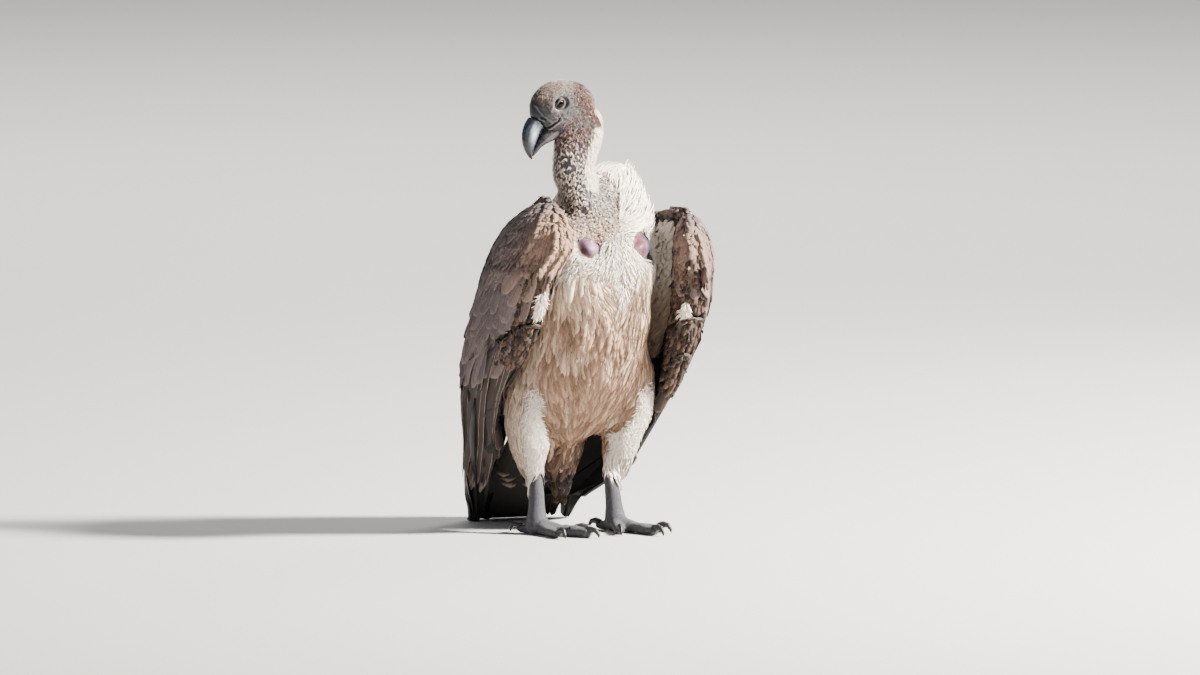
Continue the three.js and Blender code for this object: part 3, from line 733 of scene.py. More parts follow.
def sown(land, wanted):
    """Places over the surface, wanted per mm2 of each of its triangles."""
    number = np.floor(land["area"] * wanted + rng.random(len(land["area"]))).astype(int)
    which = np.repeat(np.arange(len(number)), number)
    a, b, c = (land["points"][land["corners"][which, k]] for k in range(3))
    r1, r2 = np.sqrt(rng.random(len(which)))[:, None], rng.random(len(which))[:, None]
    return a * (1 - r1) + b * r1 * (1 - r2) + c * r1 * r2


def thinned(points, radius_mm):
    """Keeps points that are no nearer to each other than a radius, which may differ from point to point."""
    radius = np.broadcast_to(radius_mm, len(points)) * 0.001
    cell = radius.max()
    kept, grid = [], {}
    for i, p in enumerate(points.tolist()):
        key = tuple(int(v // cell) for v in p)
        near = [j for dx in (-1, 0, 1) for dy in (-1, 0, 1) for dz in (-1, 0, 1)
                for j in grid.get((key[0] + dx, key[1] + dy, key[2] + dz), ())]
        if all(math.dist(p, points[j]) > radius[i] for j in near):
            kept.append(i)
            grid.setdefault(key, []).append(i)
    return points[kept]


def comb(land, roots, lie, length, stations, stray=0.15):
    """Runs each feather's middle line over the surface, the way the coat lies. length is in mm."""
    spot, normal, place_on_map = touch(land, roots)
    stray = rng.normal(0, 1, len(spot)) * stray
    length = np.broadcast_to(length, len(spot)) * 0.001

    def way_at(spot, normal):
        way = across(lie(in_body(spot), normal), normal)
        side = np.cross(normal, way)
        return way * np.cos(stray)[:, None] + side * np.sin(stray)[:, None]

    path, ups = [spot], [normal]
    way = way_at(spot, normal)
    for t0, t1 in zip(stations[:-1], stations[1:]):
        stride = (length * (t1 - t0))[:, None]
        straight = spot + way * stride
        landed, up, _ = touch(land, straight)
        astray = np.linalg.norm(landed - straight, axis=1) > 0.45 * stride[:, 0]
        landed = np.where(astray[:, None], spot + way * stride * 0.5 - normal * stride * 0.15, landed)
        up = np.where(astray[:, None], normal, up)
        new_way = way_at(landed, up)
        spot, normal = landed, unit(normal * 0.4 + up * 0.6)
        way = np.where(astray[:, None], way, unit(way * 0.5 + new_way * 0.5))
        path.append(spot)
        ups.append(normal)
    return np.stack(path, 1), np.stack(ups, 1), place_on_map


FEATHER_PATCH = 0.003  # width of a feather's patch on the map called OFBake, at the place of its root
FLOOR_GAP, TIP_GAP = 0.0006, 0.003  # metres: how far feathers and their middle lines keep above the floor


def vanes(name, path, up, half, rise, tone, root_map, stations, columns=(-1, 0, 1), camber=0.15,
          thick=0.3, twist=0.0):
    """Closed thin blades along middle lines, with half width and rise in mm and a tone at each station."""
    path = path.copy()
    path[..., 2] = np.maximum(path[..., 2], TIP_GAP)
    count, rows, _ = path.shape
    half = np.broadcast_to(half, (count, rows))[:, :, None] * 0.001
    rise = np.broadcast_to(rise, (count, rows))[:, :, None] * 0.001
    along = unit(np.gradient(path + up * rise, axis=1))
    side = unit(np.cross(up, along))
    top = unit(np.cross(along, side))
    turn = np.broadcast_to(twist, (count, rows))[:, :, None]
    side, top = side * np.cos(turn) + top * np.sin(turn), top * np.cos(turn) - side * np.sin(turn)
    middle = path + up * rise
    rings, across_map = [], []
    for u in columns:
        rings.append(middle + side * half * u - top * half * camber * u * u)
        across_map.append(u)
    rings.append(middle - top * (thick * 0.001 + half * camber * 0.5))
    across_map.append(0.0)
    ring = len(rings)
    points = np.stack(rings, axis=2).reshape(-1, 3)
    points[:, 2] = np.maximum(points[:, 2], FLOOR_GAP)
    start = (np.arange(count) * rows * ring)[:, None, None]
    row = (np.arange(rows - 1) * ring)[None, :, None]
    here = np.arange(ring)[None, None, :]
    beside = (here + 1) % ring
    quads = np.stack([start + row + here, start + row + beside, start + row + ring + beside,
                      start + row + ring + here], axis=-1)
    quads = quads[..., ::-1].reshape(-1, 4)
    caps = np.concatenate([(start[:, 0, 0, None] + np.arange(ring)[None]),
                           (start[:, 0, 0, None] + (rows - 1) * ring + np.arange(ring)[None, ::-1])])
    mesh = bpy.data.meshes.new(name)
    loops = np.concatenate([quads.ravel(), caps.ravel()])
    totals = np.concatenate([np.full(len(quads), 4), np.full(len(caps), ring)])
    mesh.vertices.add(len(points))
    mesh.vertices.foreach_set("co", points.astype(np.float32).ravel())
    mesh.loops.add(len(loops))
    mesh.loops.foreach_set("vertex_index", loops.astype(np.int32))
    mesh.polygons.add(len(totals))
    mesh.polygons.foreach_set("loop_start", np.concatenate([[0], np.cumsum(totals)[:-1]]).astype(np.int32))
    mesh.update(calc_edges=True)
    mesh.polygons.foreach_set("use_smooth", np.ones(len(totals), dtype=bool))
    u = np.broadcast_to(np.array(across_map)[None, None, :], (count, rows, ring))
    v = np.broadcast_to(np.array(stations)[None, :, None], (count, rows, ring))
    bake_u = root_map[:, None, None, 0] + u * FEATHER_PATCH / 2
    bake_v = root_map[:, None, None, 1] + (v - 0.5) * FEATHER_PATCH
    bake = np.stack([bake_u, bake_v], axis=-1).reshape(-1, 2)
    vane = np.stack([u * 0.5 + 0.5, v], axis=-1).reshape(-1, 2)
    for map_name, values in (("OFBake", bake), ("vane", vane)):
        mesh.uv_layers.new(name=map_name)
        mesh.uv_layers[map_name].data.foreach_set("uv", values[loops].astype(np.float32).ravel())
    tone = np.broadcast_to(tone, (count, rows, 3))
    chance = np.broadcast_to(rng.random(count)[:, None], (count, rows))
    colour = np.concatenate([tone, chance[..., None]], axis=-1)
    colour = np.broadcast_to(colour[:, :, None, :], (count, rows, ring, 4)).reshape(-1, 4)
    mesh.color_attributes.new(name="tone", type="FLOAT_COLOR", domain="POINT")
    mesh.color_attributes["tone"].data.foreach_set("color", colour.astype(np.float32).ravel())
    piece = bpy.data.objects.new(name, mesh)
    bpy.context.collection.objects.link(piece)
    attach(piece, "root")
    return piece


def plumage(name, edge, edge_share, edge_at=0.72, shaft_share=0.3, roughness=0.75, barbs=0.35, relief=0.25):
    """Feather vanes: a tone from the mesh, paler or darker margins, a dark shaft and slanting barbs."""
    material, tree, shader = start_material(name, roughness, 0.0, 0.25)
    tone = wire(tree, "ShaderNodeAttribute", attribute_name="tone")
    vane = wire(tree, "ShaderNodeUVMap", uv_map="vane")
    parts = wire(tree, "ShaderNodeSeparateXYZ", {0: vane.outputs[0]})
    u = maths(tree, "ABSOLUTE", maths(tree, "SUBTRACT", maths(tree, "MULTIPLY", parts.outputs[0], 2.0), 1.0))
    v = parts.outputs[1]
    slant = maths(tree, "SUBTRACT", maths(tree, "MULTIPLY", v, 46.0), maths(tree, "MULTIPLY", u, 9.0))
    chance = maths(tree, "MULTIPLY", tone.outputs["Alpha"], 90.0)
    where = wire(tree, "ShaderNodeCombineXYZ", {0: slant, 1: maths(tree, "MULTIPLY", u, 1.4), 2: chance})
    barb = wire(tree, "ShaderNodeTexNoise",
                {"Vector": where.outputs[0], "Scale": 1.0, "Detail": 2.0, "Roughness": 0.6}).outputs["Fac"]
    rim = maths(tree, "MAXIMUM", ramp(tree, u, edge_at, 1.0), ramp(tree, v, 0.5 + edge_at / 2, 1.0))
    ragged = maths(tree, "MULTIPLY", rim, ramp(tree, barb, 0.25, 0.6, 0.6, 1.0))
    colour = mixed(tree, maths(tree, "MULTIPLY", ragged, edge_share), tone.outputs["Color"], edge)
    shaft = maths(tree, "MULTIPLY", ramp(tree, u, 0.03, 0.1, 1.0, 0.0), shaft_share)
    colour = mixed(tree, shaft, colour, (0.03, 0.022, 0.018))
    shade = ramp(tree, barb, 0.25, 0.75, 1.0 - barbs, 1.0 + barbs * 0.6)
    tree.links.new(dimmed(tree, colour, shade), shader.inputs["Base Color"])
    bump = wire(tree, "ShaderNodeBump", {"Height": barb, "Strength": relief, "Distance": 0.0006})
    tree.links.new(bump.outputs[0], shader.inputs["Normal"])
    return material


def rounded(stations, blunt=0.3):
    t = np.array(stations)
    tip = np.sqrt(np.clip(1 - (np.clip(t - (1 - blunt), 0, 1) / blunt) ** 2, 0.006, 1))
    return (0.4 + 0.6 * step(0, 0.35, t)) * tip


def lot(count, low, high):
    return rng.uniform(low, high, count)


def shaded(tone, stations, root=0.6):
    """A tone for each feather, darkened towards its root as painted shade from the feathers lying over it."""
    return tone[:, None, :] * (root + (1 - root) * step(0, 0.5, np.array(stations)))[None, :, None]


def column(values):
    return np.asarray(values, float).reshape(-1, 1)


def feathers(name, way, half, stations, shape, rise, tone, material, columns=(-1, 0, 1), camber=0.2,
             twist=0.0, thick=0.4):
    """Sets vanes along the middle lines of way. rise is the lift at root and tip in mm, and its curve."""
    path, up, at = way
    half, twist, low, high = (np.broadcast_to(value, len(path)) for value in (half, twist, *rise[:2]))
    t = np.array(stations)
    curve = t[None] ** (rise[2] if len(rise) > 2 else 1.0)
    lift = column(low) + column(high - low) * curve
    # Each vane's tone carries painted shade towards its root.
    piece = vanes(name, path, up, column(half) * shape(stations)[None],
                  lift, shaded(tone(in_body(path[:, 0])), t, 0.75), at, stations, columns, camber, thick,
                  twist=column(twist))
    piece.data.materials.append(material)
    return piece


def wing_rows(side, shares, starts, tips, stations, stray=0.0):
    """Middle lines down the outer face of a wing, each at its share across, from its start to its tip."""
    land, sign = wing_lands[side], WINGS[side]
    drift = rng.normal(0, stray, len(shares))
    path, up = np.zeros((len(shares), len(stations), 3)), np.zeros((len(shares), len(stations), 3))
    for i, (share, start, tip) in enumerate(zip(shares, starts, tips)):
        across_x, normal = None, Vector((sign, 0, 0))
        for k, t in enumerate(stations):
            down = start + (tip - start) * t
            s = min(share + drift[i] * t, 0.99)
            back = np.interp(down, *LEAD) * (1 - s) + np.interp(down, *TRAIL) * s
            y = LEAN * (down - WRIST_AT) + DROP * back
            z = -DROP * (down - WRIST_AT) + LEAN * back
            hit, facing, _, _ = land["tree"].ray_cast(place((sign * 320, y, z)), Vector((-sign, 0, 0)))
            if hit is not None and (hit.x * 1000 - FEET_MIDDLE[0]) * sign > 22:
                across_x = hit.x
                normal = (normal * 0.6 + facing * 0.4).normalized()
            elif across_x is None:
                across_x = land["tree"].find_nearest(place((sign * 140, y, z)))[0].x
            spot = place((0, y, z))
            path[i, k] = (across_x, spot.y, spot.z)
            up[i, k] = normal
    path[:, 1:-1] = (path[:, :-2] + 2 * path[:, 1:-1] + path[:, 2:]) / 4
    return path, unit(up), touch(land, path[:, 0])[2]


breast_vane = plumage("breast_vane", (0.56, 0.39, 0.285), 0.3, edge_at=0.6, shaft_share=0.0, roughness=0.85,
                      barbs=0.25, relief=0.3)
CREAM = np.array([0.66, 0.49, 0.36])
covert_vane = plumage("covert_vane", (0.27, 0.19, 0.155), 0.38, edge_at=0.74, shaft_share=0.35, barbs=0.3)
flight_vane = plumage("flight_vane", (0.34, 0.265, 0.225), 0.8, edge_at=0.84, shaft_share=0.3, barbs=0.25)
marginal_vane = plumage("marginal_vane", (0.15, 0.085, 0.06), 0.45, edge_at=0.6, shaft_share=0.2, barbs=0.3)
black_vane = plumage("black_vane", (0.035, 0.026, 0.024), 0.4, edge_at=0.9, shaft_share=0.0,
                     roughness=0.55, barbs=0.25)
LONG = [0, 0.12, 0.27, 0.43, 0.58, 0.72, 0.83, 0.91, 0.965, 1]
TILE = [0, 0.25, 0.5, 0.7, 0.86, 0.96, 1]
BLADE = (-1, -0.75, 0, 0.75, 1)
GREY_BROWN = np.array([0.066, 0.051, 0.054])


def whites(low, high):
    def tone(body):
        return WHITE * lot(len(body), low, high)[:, None]
    return tone


def browns(dark, light):
    def tone(body):
        return mix(dark, light, lot(len(body), 0, 1))
    return tone


def covert_tone(body):
    down, back = wing_place(body)
    share = wing_share(down, back)
    tone = mix(GREY_BROWN, [0.12, 0.091, 0.092], lot(len(body), 0, 1))
    return mix(tone, [0.30, 0.18, 0.12], step(0.6, 0.1, share) * step(110, 20, down) * 0.9)


SLANT = 0.466  # tangent of 25 degrees, for edges that run askew across the body


def past_flank(body, sign):
    """How far, in mm, a place on the inner face lies forward and outward of the flank feathers' edge."""
    flat = body.reshape(-1, 3)
    reach = flat[:, 0] * sign - SLANT * flat[:, 1] - np.interp(flat[:, 2], [256, 317, 400], [133, 146, 153])
    return reach.reshape(body.shape[:-1])


def inner_only(way, sign, spare=99.0):
    """Keeps the middle lines that stay on the inner face of the wing."""
    path, up, at = way
    keep = ((up[..., 0] * sign < 0.25).all(1)
            & (past_flank(in_body(path.reshape(-1, 3)).reshape(path.shape), sign) < spare).all(1))
    return path[keep], up[keep], at[keep]


for side, sign in WINGS.items():
    land = wing_lands[side]
    down, back = wing_place(land["middle"])
    outer = land["facing"][:, 0] * sign
    forward = -land["facing"][:, 1]

    shares = np.linspace(1.0, 0.12, 10)
    tips = np.interp(shares, [0.1, 0.4, 1.0], [578, 586, 560])
    feathers(f"wing_{side}_primary_feathers", wing_rows(side, shares, np.full(10, 318.0), tips, LONG, 0.01),
             12.0, LONG, rounded, (np.linspace(0.4, 1.2, 10), np.linspace(1.0, 2.2, 10)),
             browns([0.004, 0.0035, 0.004], [0.009, 0.007, 0.007]), black_vane, BLADE,
             twist=-0.05 * sign)

    shares = np.linspace(0.04, 0.98, 27)
    tips = np.interp(shares, [0, 0.2, 0.45, 0.75, 1.0], [482, 500, 480, 418, 372]) + lot(27, -12, 12)
    starts = np.interp(shares, [0, 1], [150, 205])
    feathers(f"wing_{side}_secondary_feathers",
             wing_rows(side, shares, starts, tips, LONG, 0.02), lot(27, 7.6, 9.4), LONG,
             lambda t: rounded(t, 0.14), (np.linspace(1.0, 3.4, 27), np.linspace(2.0, 4.8, 27)),
             browns([0.024, 0.017, 0.017], [0.05, 0.036, 0.034]), flight_vane, BLADE,
             twist=-0.08 * sign)

    shares = np.linspace(0.1, 0.94, 15)
    tips = np.interp(shares, [0, 0.06, 0.12, 0.3, 0.6, 1.0], [206, 246, 266, 306, 360, 402]) + lot(15, -6, 6)
    starts = tips - np.interp(shares, [0, 0.25], [75, 120])
    feathers(f"wing_{side}_greater_coverts", wing_rows(side, shares, starts, tips, LONG, 0.02),
             lot(15, 10, 12.5), LONG, lambda t: rounded(t, 0.2), (2.0, np.linspace(3.6, 4.8, 15)),
             covert_tone, covert_vane, BLADE, twist=-0.08 * sign)

    rows = []
    for gap, reach, number in ((0, 88, 15), (32, 70, 13), (60, 62, 12), (88, 54, 12)):
        shares = np.linspace(0.09, 0.94, number) + lot(number, -0.02, 0.02)
        tips = np.interp(shares, [0, 0.12, 0.155, 0.22, 0.27, 0.41, 0.7, 1.0],
                         [138, 156, 186, 208, 240, 270, 322, 366]) - gap
        tips += lot(number, -8, 8)
        rows.append((shares, tips - np.interp(shares, [0, 0.25], [reach * 0.6, reach]), tips))
    shares, starts, tips = (np.concatenate(values) for values in zip(*rows))
    depth = np.concatenate([np.full(n, k) for k, n in enumerate((15, 13, 12, 12))])
    clear = starts > 62
    shares, starts, tips, depth = shares[clear], starts[clear], tips[clear], depth[clear]
    feathers(f"wing_{side}_median_coverts", wing_rows(side, shares, starts, tips, LONG, 0.03),
             lot(len(shares), 10, 12.5), LONG, lambda t: rounded(t, 0.24),
             (2.4 + 0.2 * depth, 4.6 + 0.35 * depth), covert_tone, covert_vane, BLADE,
             twist=-0.07 * sign + lot(len(shares), -0.03, 0.03))

    share = wing_share(down, back)
    limit = np.interp(share, [0, 0.12, 0.3, 0.5, 1.0], [75, 92, 118, 140, 190])
    lowest = 250 if sign > 0 else 335
    beside = ((outer < -0.05) & (land["middle"][:, 2] > lowest + 0.5 * land["middle"][:, 1])
              & (np.abs(land["middle"][:, 1] - 2) < 64))
    beside &= ((past_flank(land["middle"], sign) < 0) & (land["middle"][:, 2] < 450)
               & (land["facing"][:, 2] < 0.6))
    lesser = (down < limit) & ((outer > np.where(down < 70, -0.5, -0.1)) | (forward > 0.5)
                               | (land["facing"][:, 2] > 0.5)) & ~beside
    roots = sown(land, 0.4 * lesser)
    large = step(25, 120, wing_place(in_body(roots))[0])
    order = rng.permutation(len(roots))
    roots = thinned(roots[order], (4.6 + 2.8 * large)[order])
    large = step(25, 120, wing_place(in_body(roots))[0])
    feathers(f"wing_{side}_lesser_coverts",
             comb(land, roots, wing_lie, 13 + 27 * large + lot(len(roots), -1, 3), TILE, 0.1),
             5.6 + 5.0 * large, TILE, lambda t: rounded(t, 0.4), (1.4 + large, 2.2 + 1.6 * large),
             covert_tone, covert_vane, camber=0.08, twist=lot(len(roots), -0.04, 0.04))

    edge = ((share < (0.2 if sign > 0 else 0.12)) & (down > 66) & (down < (262 if sign > 0 else 225))
            & (outer < 0.9) & ~beside)
    roots = thinned(sown(land, 0.4 * edge), 5.5)
    feathers(f"wing_{side}_edge_coverts", comb(land, roots, wing_lie, lot(len(roots), 11, 17), TILE, 0.16),
             lot(len(roots), 3.2, 4.6), TILE, lambda t: rounded(t, 0.4), (2.2, 4.2),
             lambda body: mix([0.010, 0.007, 0.006], [0.10, 0.055, 0.038], lot(len(body), 0, 1) ** 2),
             marginal_vane, twist=lot(len(roots), -0.12, 0.12))

    roots = thinned(sown(land, 0.6 * beside), 4.4)
    way = inner_only(comb(land, roots, wing_lie, lot(len(roots), 24, 34), TILE, 0.08), sign, 3.0)
    feathers(f"wing_{side}_flank", way, lot(len(way[0]), 5.5, 7.5), TILE, lambda t: rounded(t, 0.5),
             (2.2, 4.4), lambda body: mix(CREAM * 0.85, WHITE * 0.96, step(330, 400, body[:, 2]))
             * lot(len(body), 0.94, 1.04)[:, None], breast_vane, camber=0.1)
    lining = ~lesser & ~edge & ~beside & (outer < 0.1) & (down > 40) & (down < 380)
    roots = thinned(sown(land, 0.06 * lining), 13)
    way = inner_only(comb(land, roots, wing_lie, lot(len(roots), 40, 52), TILE, 0.06), sign)
    feathers(f"wing_{side}_lining", way, lot(len(way[0]), 9, 11.5), TILE, rounded, (0.8, 2.8),
             browns([0.014, 0.010, 0.009], [0.04, 0.027, 0.022]), covert_vane)

# ---- Tail feathers ----
# The tail is a short fan of broad stiff black feathers, rounded at the end and just clear of the ground.
# Twelve are set on the back of the stub and seven on its front, each a long vane raised a little at its tip.
land = ground(tail_core)


def tail_lie(body, normal):
    way = np.tile([0.0, 0.4, -0.92], (len(body), 1))
    way[:, 0] = 0.13 * body[:, 0] / 45
    return way


back_face = []
for x in (-38, 38, -31, 31, -24, 24, -17, 17, -10, 10, -3, 3):
    back_face.append(land["tree"].find_nearest(place((x, 200, 185 - abs(x) * 0.4)))[0][:])
feathers("tail_back_feathers",
         comb(land, np.array(back_face), tail_lie, np.linspace(171, 179, 12), LONG, 0.012), 14.5, LONG,
         lambda t: rounded(t, 0.12), (np.linspace(0.3, 2.4, 12), np.linspace(1.0, 3.4, 12)),
         browns([0.004, 0.0035, 0.004], [0.008, 0.006, 0.006]), black_vane, BLADE)
front_face, lengths = [], []
for x, z, length in ((-8, 120, 135), (12, 120, 136), (-20, 120, 132), (24, 120, 134), (-30, 118, 118),
                     (36, 118, 128), (-37, 122, 110)):
    front_face.append(land["tree"].find_nearest(place((x, 60, z - 20)))[0][:])
    lengths.append(length)
feathers("tail_front_feathers", comb(land, np.array(front_face), tail_lie, np.array(lengths), LONG, 0.012),
         19.0, LONG, lambda t: rounded(t, 0.16), (np.linspace(0.3, 1.6, 7), np.linspace(1.0, 3.0, 7)),
         browns([0.006, 0.005, 0.005], [0.012, 0.009, 0.009]), flight_vane, BLADE)

# ---- Breast, flanks and back ----
# Soft contour feathers cover the body: broad ones first, then narrower locks and fine loose barbs over them.
# On the front they run in to a parting and down to the point of the belly. White down crosses the crop.
PARTING = 15  # x of the parting of the breast
land = ground(skin)
middle = land["middle"]
facing = land["facing"]
label = parts_of(middle)
on = {name: (label == i) & (middle[:, 2] > 30) for i, name in enumerate(PARTS)}
bare = bareness(middle)


def waves(body, size):
    """A smooth wandering number, for tousled lies and patchy tones."""
    x, y, z = (body / size).T
    return np.sin(x + 1.7 * np.sin(z * 0.7 + y)) * np.cos(z + 1.3 * np.sin(x * 1.1 - y * 0.6))


def trunk_lie(body, normal):
    way = unit(np.array([8.0, 30.0, 90.0]) - body)
    off = body[:, 0] - PARTING
    aside = np.sign(off) * step(0, 14, np.abs(off))
    near = step(75, 10, np.abs(off)) * step(290, 350, body[:, 2]) * step(20, -20, body[:, 1])
    way[:, 0] -= 0.75 * aside * near
    way[:, 0] += 0.22 * waves(body, 26) + 0.12 * waves(body, 9)
    behind = step(10, 50, body[:, 1])
    way[:, 1] += 0.8 * step(410, 440, body[:, 2])
    return way * (1 - behind[:, None]) + np.array([0, 0.4, -0.9]) * behind[:, None]


def pointed(stations, fullness=0.55):
    t = np.array(stations)
    return (0.35 + 0.65 * step(0, 0.3, t)) * np.maximum(1 - t, 0.0) ** fullness + 0.03


def locks(name, roots, lie, length, half, stations, tone, material, stand=0.12, curl=0.0,
          stray=0.2, thick=0.4, columns=(-1, 1), camber=0.25, fullness=0.55, base=0.0, root=0.6, twist=0.35,
          shape=None, clear_of=None, land=None):
    """Sets narrow soft feathers. stand is how far the tip stands off, as a share of the length. root is the
    share of the tone left at the root under painted shade.
    """
    path, up, at = comb(land or body_land, roots, lie, length, stations, stray)
    if clear_of is not None:
        clear = (clear_of(in_body(path.reshape(-1, 3))).reshape(len(path), -1) < 0.4).all(1)
        path, up, at = path[clear], up[clear], at[clear]
        length, half, stand = (np.broadcast_to(v, len(roots))[clear] for v in (length, half, stand))
    t = np.array(stations)
    count = len(path)
    length, half, stand = (np.broadcast_to(v, count)[:, None] for v in (length, half, stand))
    lift = base + length * stand * (t[None] ** 0.8 + curl * t[None] ** 3)
    profile = pointed(stations, fullness) if shape is None else shape(stations)
    piece = vanes(name, path, up, half * profile[None], lift, shaded(tone(in_body(path[:, 0])), t, root),
                  at, stations, columns, camber, thick, twist=lot(count, -twist, twist)[:, None])
    piece.data.materials.append(material)
    return piece


def open_skin(body):
    """1 where no body feather lies: the bare patches, the mottled throat and the dark strip by the nape."""
    return np.maximum(np.maximum(bareness(body), throat_share(body)), strip_share(body))


body_land = land
down_white = plumage("down_white", (0.9, 0.85, 0.78), 0.2, shaft_share=0.0, roughness=0.9, barbs=0.12,
                     relief=0.15)


def white_dip(body):
    """How far below its common level the white of the crop runs down, in mm: most at the parting."""
    return (30 * np.exp(-((body[:, 0] - PARTING) / 11) ** 2) + 9 * np.sin(body[:, 0] / 17 + 1)
            + 5 * np.sin(body[:, 0] / 6.1))


def breast_tone(body):
    tone = mix(BUFF * 1.05, CREAM * 0.95,
               np.clip(step(300, 385, body[:, 2]) * 0.85 + lot(len(body), -0.06, 0.06), 0, 1))
    tone = mix(tone, BUFF * 0.72, 0.55 * step(0.15, 0.9, waves(body, 19)) * step(385, 350, body[:, 2]))
    # Painted shade darkens the hollows between the soft lumps, where the skin sinks.
    tone = mix(tone, BUFF * 0.5, 0.6 * step(0.15, 0.9, breast_lumps(body)) * step(385, 350, body[:, 2]))
    tone = mix(tone, CREAM, 0.5 * step(0.2, 0.9, waves(body + 40, 15)))
    tone = mix(tone, [0.30, 0.235, 0.20], 0.6 * step(72, 95, np.abs(body[:, 0] - 5))
               * step(395, 360, body[:, 2]) * step(-90, -40, body[:, 1]))
    tone = mix(tone, WHITE, step(0, 24, body[:, 2] - 374 + white_dip(body)) * step(10, -30, body[:, 1]))
    return mix(tone, WHITE * 0.95, step(25, 60, body[:, 1]) * step(150, 200, body[:, 2]) * 0.9)


throat = (throat_share(middle) > 0.3) & ~on["neck"] & (facing[:, 1] < 0.3)
front = step(45, 10, middle[:, 1])
band = step(0, 24, middle[:, 2] - 372 + white_dip(middle)) * step(0.2, -0.3, facing[:, 1])
SIX = [0, 0.22, 0.45, 0.66, 0.85, 1]
FOUR = [0, 0.35, 0.7, 1]
roots = thinned(sown(land, 0.12 * on["trunk"] * (1 - bare) * (band < 0.5) * ~throat), 6)
locks("breast_feathers", roots, trunk_lie, lot(len(roots), 38, 50), lot(len(roots), 6.5, 9), SIX,
      breast_tone, breast_vane, stand=lot(len(roots), 0.02, 0.07), stray=0.1, columns=(-1, 0, 1),
      camber=0.12, fullness=0.42, base=1.2, root=0.66, twist=0.12, clear_of=open_skin)
roots = sown(land, 0.05 * on["trunk"] * (1 - bare) * (1 - 0.6 * band) * (0.3 + 0.7 * front))
locks("breast_locks", roots, trunk_lie, lot(len(roots), 24, 38), lot(len(roots), 1.6, 3.4), FOUR,
      breast_tone, breast_vane, stand=lot(len(roots), 0.02, 0.06), stray=0.1, base=2.0, root=0.88,
      twist=0.1, thick=0.25, clear_of=open_skin)
roots = sown(land, 0.065 * on["trunk"] * (1 - bare) * front)
locks("breast_barbs", roots, trunk_lie, lot(len(roots), 18, 30), lot(len(roots), 0.25, 0.55), FOUR,
      breast_tone, breast_vane, stand=lot(len(roots), 0.03, 0.1), curl=-0.2, stray=0.16, base=2.2,
      root=0.92, twist=0.2, thick=0.2, clear_of=open_skin)


def band_lie(body, normal):
    out = np.stack([body[:, 0] - PARTING, np.zeros(len(body)), np.full(len(body), -40.0)], axis=1)
    return unit(out) + 0.3 * np.stack([waves(body, 7), waves(body + 9, 6), waves(body + 20, 7)], axis=1)


for half_name, side_of in (("right", middle[:, 0] < PARTING), ("left", middle[:, 0] >= PARTING)):
    roots = sown(land, 0.2 * band * (on["trunk"] | on["neck"] | on["ruff"]) * (middle[:, 2] < 445)
                 * (1 - bare) * side_of * ~throat)
    locks(f"crop_down_{half_name}", roots, band_lie, lot(len(roots), 11, 22), lot(len(roots), 0.7, 1.7),
          FOUR, whites(0.96, 1.06), down_white, stand=lot(len(roots), 0.06, 0.3), curl=-0.3,
          stray=0.3, base=1.5, root=0.88, twist=0.2, thick=0.25, clear_of=open_skin)

# ---- Thighs ----
# White cottony down covers the front and inner side of each thigh, and longer smooth feathers its outer side,
# ending in a fringe over the top of the shank.


def thigh_lie(body, normal):
    foot = np.where(body[:, :1] > 0, [[70.0, 22.0, 60.0]], [[-66.0, 24.0, 60.0]])
    way = unit(foot - body) + 0.15 * waves(body, 12)[:, None]
    way[:, 2] -= 0.4
    return way


def thigh_tone(body):
    tone = mix(WHITE * lot(len(body), 0.9, 1.05)[:, None], CREAM * 0.8, 0.85 * step(165, 215, body[:, 2]))
    # Painted shade: the outer side of the right thigh, turned from the key lamp, is creamier, and the outer
    # sides and backs of both thighs are browner.
    tone = mix(tone, CREAM * 0.9, 0.7 * step(-70, -88, body[:, 0] - SLANT * body[:, 1]))
    return mix(tone, [0.34, 0.25, 0.20],
               0.7 * step(94, 108, np.abs(body[:, 0] + 2)) + 0.25 * step(0, 30, body[:, 1]))


for side, sign in WINGS.items():
    here = on["thigh_" + side] | (on["shank_" + side] & (middle[:, 2] > 92))
    inner = step(-0.2, 0.3, -facing[:, 1] * 0.75 - facing[:, 0] * sign * 0.6) * step(222, 190, middle[:, 2])
    reach = middle[:, 0] - SLANT * middle[:, 1] + 5 * waves(middle, 9)
    if sign < 0:
        inner *= step(-84, -74, reach)
    else:
        inner *= step(50, 60, reach) * step(106, 124, middle[:, 2] + 3 * waves(middle, 9))
    inner *= step(84, 94, middle[:, 2])
    roots = sown(land, 0.07 * here * (1 - inner * 0.5))
    locks(f"thigh_{side}_feathers", roots, thigh_lie, lot(len(roots), 22, 34), lot(len(roots), 1.6, 3.0),
          FOUR, thigh_tone, breast_vane, stand=lot(len(roots), 0.04, 0.12), stray=0.12,
          base=1.5, root=0.8)
    roots = sown(land, 0.7 * here * inner)
    locks(f"thigh_{side}_down", roots, thigh_lie, lot(len(roots), 5, 11), lot(len(roots), 0.4, 0.75), FOUR,
          whites(0.98, 1.08), down_white, stand=lot(len(roots), 0.2, 0.6), curl=-0.4,
          stray=0.75, base=2.5, root=0.92, thick=0.2)

